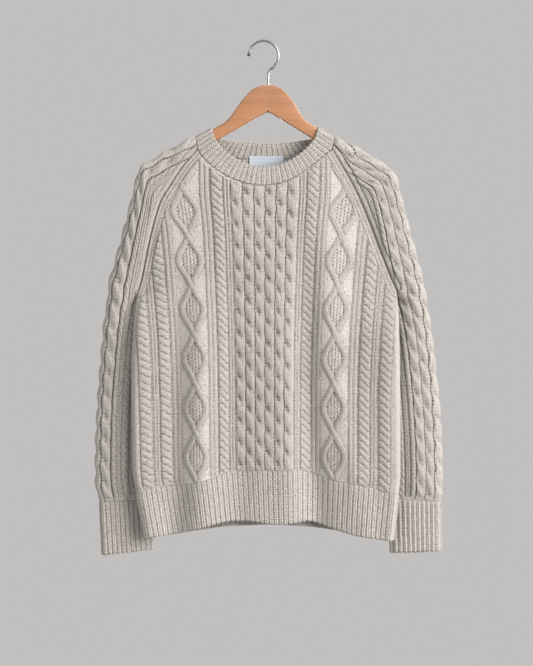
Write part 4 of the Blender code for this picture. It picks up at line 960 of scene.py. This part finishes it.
def build_wood():
    """Flat wooden hanger: a raised crown and two arms with rounded edges and ends."""
    straight_end = ARM_REACH - ARM_END
    rounding = np.sin(np.linspace(0, math.pi / 2, 12))[1:]
    distances = np.concatenate([np.linspace(0, 90, 46), np.linspace(90, straight_end, 25)[1:],
                                straight_end + ARM_END * rounding])
    sections = []
    places = np.concatenate([-distances[:0:-1], distances])
    for place in places:
        sign = -1 if place < 0 else 1
        distance = abs(place)
        top = float(arm_top(sign, distance))
        bottom = APEX_Z + APEX_LIFT - ARMS[sign][2] * math.hypot(distance, APEX_ROUND)
        share = TIP_SHARE + (1 - TIP_SHARE) * float(rounded(ARM_REACH - distance, ARM_END))
        middle, half = (top + bottom) / 2, (top - bottom) / 2 * share
        drop = (1 - share) * TIP_DROP
        thick = WOOD_HALF * (0.80 + 0.20 * share)
        full_round = EDGE_ROUND + (WOOD_HALF - EDGE_ROUND) * float(ease(25, 80, distance))
        top_round = min(full_round, half * 0.9, thick * 0.98)
        low_round = min(EDGE_ROUND, half * 0.5)
        outline = []
        for centre_y, centre_z, radius, start in (
                (-(thick - top_round), middle + half - top_round, top_round, math.pi),
                (thick - top_round, middle + half - top_round, top_round, math.pi / 2),
                (thick - low_round, middle - half + low_round, low_round, 0.0),
                (-(thick - low_round), middle - half + low_round, low_round, -math.pi / 2)):
            for turn in np.linspace(start, start - math.pi / 2, CORNER_POINTS):
                outline.append((centre_y + radius * math.cos(turn), centre_z + radius * math.sin(turn)))
        sections.append([(HANGER_X + place, y, z - drop) for y, z in outline])
    points, quads, caps = closed_tube(np.array(sections))
    return make_mesh("beech_hanger", points, quads, caps, {"grain": points[:, ::2]})


def build_hook():
    """Bent wire with a small rounded tip, as a tube along a smooth path."""
    centre_z = -(HOOK_RADIUS - WIRE_RADIUS)
    turns = np.radians(np.linspace(176, -30, 60))
    bend = [(HOOK_X + HOOK_RADIUS * math.cos(t), centre_z + HOOK_RADIUS * math.sin(t)) for t in turns]
    foot = smooth_path([bend[-2], bend[-1], (14.4, -40.2), (9.0, -44.6), (6.7, -48.6), (HANGER_X, -54.0),
                        (HANGER_X, -62.0), (HANGER_X, -78.0)], 46)
    path = np.array(bend[:-1] + [tuple(point) for point in foot[2:]])
    tip = path[0]
    ahead = (path[1] - path[0]) / np.linalg.norm(path[1] - path[0])
    turns = np.linspace(0.06, math.pi * 0.80, 12)[:, None]
    path = np.concatenate([tip - ahead * TIP_RADIUS * np.cos(turns), path[2:]])
    radii = np.full(len(path), WIRE_RADIUS)
    radii[:len(turns)] = TIP_RADIUS * np.sin(turns[:, 0])
    tangents = np.gradient(path, axis=0)
    tangents = tangents / np.linalg.norm(tangents, axis=1)[:, None]
    around = np.linspace(0, 2 * math.pi, WIRE_SIDES + 1)[:-1]
    wide = radii[:, None] * np.cos(around)
    rings = np.stack([path[:, :1] - tangents[:, 1:] * wide, radii[:, None] * np.sin(around),
                      path[:, 1:] + tangents[:, :1] * wide], axis=-1)
    points, quads, caps = closed_tube(rings)
    reach = np.concatenate([[0], np.cumsum(np.linalg.norm(np.diff(path, axis=0), axis=1))])
    values = np.concatenate([np.repeat(reach, WIRE_SIDES), [0.0, reach[-1]]])
    along = np.stack([values, np.zeros_like(values)], axis=-1)
    return make_mesh("steel_hook", points, quads, caps, {"reach": along})


def back_inside(x, z):
    """Depth of the inside of the back, on the neckband above its seam and on the panel below."""
    seam_z = path_height(smooth_path(BACK_COLLAR, 80), x)
    free_z = path_height(smooth_path(BACK_FREE, 80), x)
    share = np.clip((z - seam_z) / (free_z - seam_z), 0, 1)
    seam_depth = body_depth(1, x, np.minimum(seam_z, COLLAR_Z) - 10)
    free_depth = free_edge_depth(1, x, COLLAR_Z - 10)
    above = seam_depth + (free_depth - seam_depth) * share
    return np.where(z <= seam_z, body_depth(1, x, z), above)


# Left, right, top and bottom edge of the label, distance of its sewn line from the edges, and
# the length of a stitch.
LABEL = (-24.8, 29.6, -181.6, -200.0)
LABEL_SEAM = 1.6
LABEL_STITCH = 2.6


def build_label(columns, rows):
    """Bare woven label, slightly curled away from the cloth at its lower corners."""
    left, right, top, bottom = LABEL
    x = np.linspace(left, right, columns)[None, :].repeat(rows, axis=0)
    z = np.linspace(top, bottom, rows)[:, None].repeat(columns, axis=1)
    z = z - 0.5 * np.sin((x - left) / (right - left) * math.pi)
    u = (x - (left + right) / 2) / (right - left) * 2
    low = (top - z) / (top - bottom)
    depth = back_inside(x, z) - 0.4 - 1.2 * low ** 2 * np.abs(u) ** 3 - 0.25 * np.sin(u * 5) * low
    outer = np.stack([x, depth - 0.6, z], axis=-1)
    inner = np.stack([x, depth, z], axis=-1)[::COARSE, ::COARSE]
    stitch = np.stack([x - left, z - bottom], axis=-1)
    return cloth_shell("woven_label", outer, inner, stitch, stitch * 0, False)


class Nodes:
    """Short way to add the nodes of a material."""

    def __init__(self, name):
        self.material = bpy.data.materials.new(name)
        self.material.use_nodes = True
        self.tree = self.material.node_tree
        self.shader = self.tree.nodes["Principled BSDF"]

    def link(self, value, socket):
        if hasattr(value, "is_output"):
            self.tree.links.new(value, socket)
        else:
            socket.default_value = value

    def math(self, operation, a, b=0.0, clamp=False):
        node = self.tree.nodes.new("ShaderNodeMath")
        node.operation = operation
        node.use_clamp = clamp
        self.link(a, node.inputs[0])
        self.link(b, node.inputs[1])
        return node.outputs[0]

    def add(self, a, b):
        return self.math("ADD", a, b)

    def subtract(self, a, b):
        return self.math("SUBTRACT", a, b)

    def multiply(self, a, b):
        return self.math("MULTIPLY", a, b)

    def plus(self, base, value, gain, clamp=False):
        """The base and the value times the gain."""
        return self.math("ADD", base, self.multiply(value, gain), clamp)

    def swing(self, noise, gain):
        """The noise times the gain, moved so that its middle is zero."""
        return self.multiply(self.subtract(noise, 0.5), gain)

    def wave(self, value, turn):
        return self.math("SINE", self.multiply(value, turn))

    def humps(self, value, turn):
        """The wave with its lower halves turned up."""
        return self.math("ABSOLUTE", self.wave(value, turn))

    def apart(self, value, middle):
        """Distance of the value from the middle."""
        return self.math("ABSOLUTE", self.subtract(value, middle))

    def blend(self, share, first, second):
        rest = self.multiply(first, self.subtract(1.0, share))
        return self.add(rest, self.multiply(second, share))

    def uv(self, layer):
        """The two values of a layer."""
        node = self.tree.nodes.new("ShaderNodeUVMap")
        node.uv_map = layer
        split = self.tree.nodes.new("ShaderNodeSeparateXYZ")
        self.tree.links.new(node.outputs[0], split.inputs[0])
        return split.outputs[:2]

    def ramp(self, value, low, high, to_low=0.0, to_high=1.0):
        node = self.tree.nodes.new("ShaderNodeMapRange")
        node.interpolation_type = "SMOOTHSTEP"
        for socket, number in zip(node.inputs[:5], (value, low, high, to_low, to_high)):
            self.link(number, socket)
        return node.outputs[0]

    def noise(self, vector, scale, detail=3.0, roughness=0.5, stretch=(1.0, 1.0, 1.0)):
        mapping = self.tree.nodes.new("ShaderNodeMapping")
        self.tree.links.new(vector, mapping.inputs[0])
        mapping.inputs["Scale"].default_value = stretch
        node = self.tree.nodes.new("ShaderNodeTexNoise")
        self.tree.links.new(mapping.outputs[0], node.inputs["Vector"])
        node.inputs["Scale"].default_value = scale
        node.inputs["Detail"].default_value = detail
        node.inputs["Roughness"].default_value = roughness
        return node.outputs["Fac"]

    def place(self):
        return self.tree.nodes.new("ShaderNodeTexCoord").outputs["Object"]

    def mix(self, share, first, second):
        node = self.tree.nodes.new("ShaderNodeMix")
        node.data_type = "RGBA"
        colours = [socket for socket in node.inputs if socket.type == "RGBA"]
        self.link(share, node.inputs[0])
        for value, socket in ((first, colours[0]), (second, colours[1])):
            self.link((*value, 1.0) if isinstance(value, tuple) else value, socket)
        return [socket for socket in node.outputs if socket.type == "RGBA"][0]

    def bump(self, height, strength, distance):
        node = self.tree.nodes.new("ShaderNodeBump")
        node.inputs["Strength"].default_value = strength
        node.inputs["Distance"].default_value = distance
        self.tree.links.new(height, node.inputs["Height"])
        self.tree.links.new(node.outputs[0], self.shader.inputs["Normal"])

    def set(self, **values):
        for name, value in values.items():
            self.link(value, self.shader.inputs[name.replace("_", " ")])


# Moss stitches and the dots of painted shade between stitches, in millimetres. Colours are linear.
MOSS_PITCH = 5.0
MOSS_ROW = 5.4
DOT_ROW = 5.4
WOOL_LIGHT = (0.530, 0.496, 0.462)
# Darker yarn for the uneven tone, and the colour of painted shade.
WOOL_DARK_FIBRE_AND_SHADE = (0.112, 0.092, 0.076)
# Painted shade of the eyelets.
EYELET_SHADE = (0.036, 0.029, 0.023)
BEECH_PALE = (0.390, 0.186, 0.089)
BEECH_DEEP = (0.260, 0.112, 0.047)
BEECH_DOT = (0.05, 0.03, 0.02)
STEEL_GREY = (0.33, 0.325, 0.32)
STEEL_TIP = (0.10, 0.097, 0.094)
LABEL_DEEP = (0.380, 0.440, 0.500)
LABEL_PALE = (0.480, 0.530, 0.580)
LABEL_THREAD = (0.72, 0.74, 0.76)
FLOOR_GREY = (0.40, 0.395, 0.39)
STUDIO_PALE = (0.585, 0.570, 0.560, 1.0)


def wool(name, stitch_width, row_height, period, bright, hollows):
    """
    Knitted wool with painted shade. The stitch layer holds the place in the knitted pattern in
    millimetres, and the masks layer holds the painted shade of hollows and grooves and the kind of
    stitch: 0 knit,
    0.5 reverse, 1 moss.

    A period adds the open dotted lines of painted shade, which sway with the cables.

    A period adds the open dotted lines, which sway with the cables.
    """
    n = Nodes(name)
    u, v = n.uv("stitch")
    cavity_shade, kind = n.uv("masks")
    place = n.place()
    fibre = n.noise(place, 750.0, 3.0, 0.7)
    tufts = n.noise(place, 400.0, 3.0, 0.7)
    broad = n.noise(place, 22.0, 2.0, 0.5)
    wander = n.swing(n.noise(place, 70.0, 2.0, 0.5), 1.6)
    aside, down = n.add(u, wander), n.add(v, wander)

    across = n.math("DIVIDE", aside, stitch_width)
    row = n.math("DIVIDE", down, row_height)
    off = n.apart(n.math("FRACT", across), 0.5)
    leg = n.math("POWER", n.humps(n.plus(row, off, 1.5), math.pi), 0.7)
    knit = n.multiply(leg, n.math("POWER", n.humps(off, 2 * math.pi), 0.5))
    bar, loops = n.humps(row, math.pi), n.humps(across, math.pi)
    purl = n.plus(n.plus(0.42, bar, 0.16), loops, 0.16)

    moss_column = n.math("DIVIDE", aside, MOSS_PITCH)
    moss_gap = n.subtract(1.0, n.math("POWER", n.humps(moss_column, math.pi), 0.6))
    moss_turn = n.multiply(down, 2 * math.pi / MOSS_ROW)
    moss_turn = n.plus(moss_turn, n.math("ROUND", moss_column), math.pi)
    moss_dots = n.ramp(n.math("SINE", moss_turn), -0.6, 0.6, 0.25, 1.0)
    moss = n.subtract(1.0, n.multiply(moss_gap, moss_dots))

    moss_share = n.ramp(kind, 0.6, 0.8)
    cloth = n.blend(moss_share, n.blend(n.ramp(kind, 0.2, 0.4), knit, purl), moss)
    height = n.plus(n.plus(cloth, fibre, 0.45), tufts, 0.6)
    beads = n.wave(down, 2 * math.pi / DOT_ROW)
    # Painted shade between the stitches and between the moss bumps, and painted shade of the hollows,
    # dotted along the rows.
    shade = n.multiply(n.subtract(1.0, cloth), 0.30)
    shade = n.plus(shade, moss_share, n.ramp(moss, 0.9, 0.2, 0.25, 0.62))
    shade = n.plus(shade, n.multiply(cavity_shade, n.ramp(beads, -0.5, 0.5, 0.62, 1.0)), hollows)
    eyelets = 0.0
    if period:
        # Painted shade along the open dotted lines, nearly black in their eyelets.
        sway = n.multiply(n.wave(v, 2 * math.pi / period), 0.7)
        steps = n.math("DIVIDE", n.add(u, sway), LINE_PITCH)
        near = n.apart(n.math("FRACT", n.add(steps, 0.5)), 0.5)
        in_panel = n.ramp(n.math("ABSOLUTE", u), DOTTED_HALF + 3.0, DOTTED_HALF + 1.5)
        line = n.multiply(n.ramp(near, 0.074, 0.036), in_panel)
        uneven = n.ramp(n.noise(place, 120.0, 2.0, 0.5), 0.38, 0.62, 0.45, 1.0)
        eyelets = n.multiply(n.multiply(line, n.ramp(beads, -0.4, 0.3)), uneven)
        shade = n.plus(shade, line, 0.40)
        height = n.plus(height, eyelets, -1.5)
    # Uneven tone of the yarn itself.
    shade = n.add(shade, n.swing(broad, 0.14))
    shade = n.add(shade, n.swing(tufts, 1.9))
    shade = n.math("ADD", shade, n.swing(fibre, 1.3), clamp=True)
    light = tuple(value * bright for value in WOOL_LIGHT)
    yarn = n.mix(shade, light, WOOL_DARK_FIBRE_AND_SHADE)
    # The eyelets get a nearly black painted shade.
    n.set(Base_Color=n.mix(n.multiply(eyelets, 0.95), yarn, EYELET_SHADE))
    n.set(Roughness=n.ramp(fibre, 0.3, 0.7, 0.86, 0.98))
    n.set(Specular_IOR_Level=0.15, Sheen_Weight=0.22, Sheen_Roughness=0.45)
    n.set(Sheen_Tint=(1.0, 0.97, 0.93, 1.0))
    n.bump(height, 0.85, 0.0016)
    return n.material


def beech():
    """Brown wood, with the fine joint of the two arms and a small dark dot at its foot."""
    n = Nodes("beech")
    x, z = n.uv("grain")
    place = n.place()
    grain = n.noise(place, 55.0, 5.0, 0.65, (0.10, 1.0, 1.6))
    flecks = n.noise(place, 420.0, 2.0, 0.5, (0.09, 1.0, 1.0))
    blotch = n.noise(place, 16.0, 2.0, 0.5)
    shade = n.plus(n.ramp(grain, 0.35, 0.68), n.ramp(flecks, 0.52, 0.66), 0.45)
    shade = n.plus(n.multiply(shade, 0.42), blotch, 0.22)
    joint = n.ramp(n.apart(x, HANGER_X), 0.55, 0.2)
    shade = n.plus(shade, joint, 0.25, clamp=True)
    beside = n.math("POWER", n.subtract(x, HANGER_X), 2.0)
    over = n.math("POWER", n.subtract(z, APEX_Z + 1.2), 2.0)
    dot = n.ramp(n.math("SQRT", n.add(beside, over)), 1.9, 1.1)
    n.set(Base_Color=n.mix(dot, n.mix(shade, BEECH_PALE, BEECH_DEEP), BEECH_DOT))
    n.set(Roughness=n.ramp(grain, 0.3, 0.7, 0.42, 0.56), Coat_Weight=0.18, Coat_Roughness=0.3)
    n.bump(n.plus(n.multiply(grain, 0.4), joint, -0.8), 0.35, 0.0006)
    return n.material


def steel():
    """Drawn wire with a darker tip."""
    n = Nodes("drawn_steel")
    reach, _ = n.uv("reach")
    drawn = n.noise(n.place(), 700.0, 3.0, 0.5, (1.0, 1.0, 0.25))
    n.set(Base_Color=n.mix(n.ramp(reach, 7.0, 4.0), STEEL_GREY, STEEL_TIP))
    n.set(Roughness=n.ramp(drawn, 0.3, 0.7, 0.32, 0.44), Metallic=1.0)
    n.bump(drawn, 0.12, 0.0003)
    return n.material


def label_cloth():
    """Fine weave with a stitched line along the top and both ends."""
    n = Nodes("woven_label")
    x, z = n.uv("stitch")
    left, right, top, bottom = LABEL
    weave = n.multiply(n.humps(x, math.pi / 0.7), n.humps(z, math.pi / 0.5))
    cloudy = n.noise(n.place(), 140.0, 3.0, 0.6)
    shade = n.plus(n.multiply(weave, 0.35), cloudy, 0.5)
    to_end = n.math("MINIMUM", x, n.subtract(right - left, x))
    edge = n.math("MINIMUM", to_end, n.subtract(top - bottom, z))
    stitches = n.ramp(n.wave(n.add(x, z), 2 * math.pi / LABEL_STITCH), -0.2, 0.2)
    seam = n.multiply(n.ramp(n.apart(edge, LABEL_SEAM), 0.5, 0.25), stitches)
    n.set(Base_Color=n.mix(seam, n.mix(shade, LABEL_DEEP, LABEL_PALE), LABEL_THREAD))
    n.set(Roughness=n.ramp(cloudy, 0.3, 0.7, 0.55, 0.70), Sheen_Weight=0.1)
    n.bump(n.add(weave, seam), 0.5, 0.0003)
    return n.material


def plain(name, colour, roughness):
    """Matt and nearly even surface."""
    n = Nodes(name)
    faint = n.noise(n.place(), 3.0, 2.0, 0.5)
    tone = tuple(value * 0.96 for value in colour)
    n.set(Base_Color=n.mix(faint, colour, tone), Roughness=roughness)
    return n.material


def area_light(name, place, target, size, power, colour):
    """Square or oblong lamp that shines from a place toward a target."""
    data = bpy.data.lights.new(name, "AREA")
    data.shape = "RECTANGLE"
    data.size, data.size_y = size
    data.energy = power
    data.color = colour
    light = bpy.data.objects.new(name, data)
    light.location = place
    light.rotation_euler = (Vector(target) - Vector(place)).to_track_quat("-Z", "Y").to_euler()
    bpy.context.scene.collection.objects.link(light)


# Metres.
FLOOR_SIZE = 3.4
FLOOR_PLACE = (0, -0.2, -1.35)


def build_stage():
    """Pale floor far below the sweater, even light all round, and three lamps."""
    bpy.ops.mesh.primitive_plane_add(size=FLOOR_SIZE, location=FLOOR_PLACE)
    floor = bpy.context.active_object
    floor.name = "floor"
    floor.data.materials.append(plain("pale_floor", FLOOR_GREY, 0.9))
    world = bpy.data.worlds.new("pale_studio")
    bpy.context.scene.world = world
    world.use_nodes = True
    background = world.node_tree.nodes["Background"]
    background.inputs["Color"].default_value = STUDIO_PALE
    background.inputs["Strength"].default_value = 0.92
    area_light("key", (7.2, -5.4, 2.25), (0, 0, -0.45), (5.6, 5.6), 1680.0, (1.0, 0.985, 0.970))
    area_light("fill", (-3.2, -2.6, 0.2), (0, 0, -0.5), (2.4, 2.4), 32.0, (1.0, 0.99, 0.985))
    area_light("back", (0.6, 4.0, 0.6), (0, 0, -0.45), (3.0, 2.0), 180.0, (1.0, 0.99, 0.985))


# Metres. The frame's height is measured on a plane that lies SHARP_PLANE in front of the hook.
CAMERA_PLACE = (0.0032, -3.8, -0.4664)
SENSOR_WIDTH = 36.0  # millimetres
SHARP_PLANE = 0.008
FRAME_HEIGHT = 1.0656


def build_camera():
    """Level camera in front of the sweater, with the photo's frame."""
    data = bpy.data.cameras.new("camera")
    data.sensor_width = SENSOR_WIDTH
    data.lens = SENSOR_WIDTH * (-CAMERA_PLACE[1] - SHARP_PLANE) / FRAME_HEIGHT
    camera = bpy.data.objects.new("camera", data)
    camera.location = CAMERA_PLACE
    camera.rotation_euler = (math.pi / 2, 0.0, 0.0)
    bpy.context.scene.collection.objects.link(camera)
    bpy.context.scene.camera = camera


def finish_piece(piece, node, material):
    """Give a piece its material and its place in the part."""
    piece.data.materials.append(material)
    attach(piece, "root")
    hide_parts(node)


def main():
    scene = bpy.context.scene
    scene.view_settings.view_transform = "Standard"
    body_wool = wool("wool_body", 4.2, 3.5, BODY_WAVE_PERIOD, 1.0, 1.10)
    sleeve_wool = wool("wool_sleeve", 4.2, 3.5, SLEEVE_WAVE_PERIOD, 1.0, 0.75)
    rib_wool = wool("wool_rib", RIB_PITCH, 3.3, None, 0.95, 0.95)
    finish_piece(build_body("knit_front", -1, columns=289, rows=317), "sweater_front", body_wool)
    finish_piece(build_body("knit_back", 1, columns=265, rows=289), "sweater_back", body_wool)
    finish_piece(build_hem("knit_hem_front", -1, ribs=52, rows=33), "hem_front", rib_wool)
    finish_piece(build_hem("knit_hem_back", 1, ribs=52, rows=33), "hem_back", rib_wool)
    for side in ("left", "right"):
        finish_piece(build_sleeve(side, columns=145, rows=433), "sleeve_" + side, sleeve_wool)
        finish_piece(build_cuff(side, ribs=22, rows=33), "cuff_" + side, rib_wool)
    finish_piece(build_neckband(rows=21), "neckband", rib_wool)
    finish_piece(build_label(columns=49, rows=21), "neck_label", label_cloth())
    finish_piece(build_wood(), "hanger_wood", beech())
    finish_piece(build_hook(), "hanger_hook", steel())
    build_stage()
    build_camera()


main()
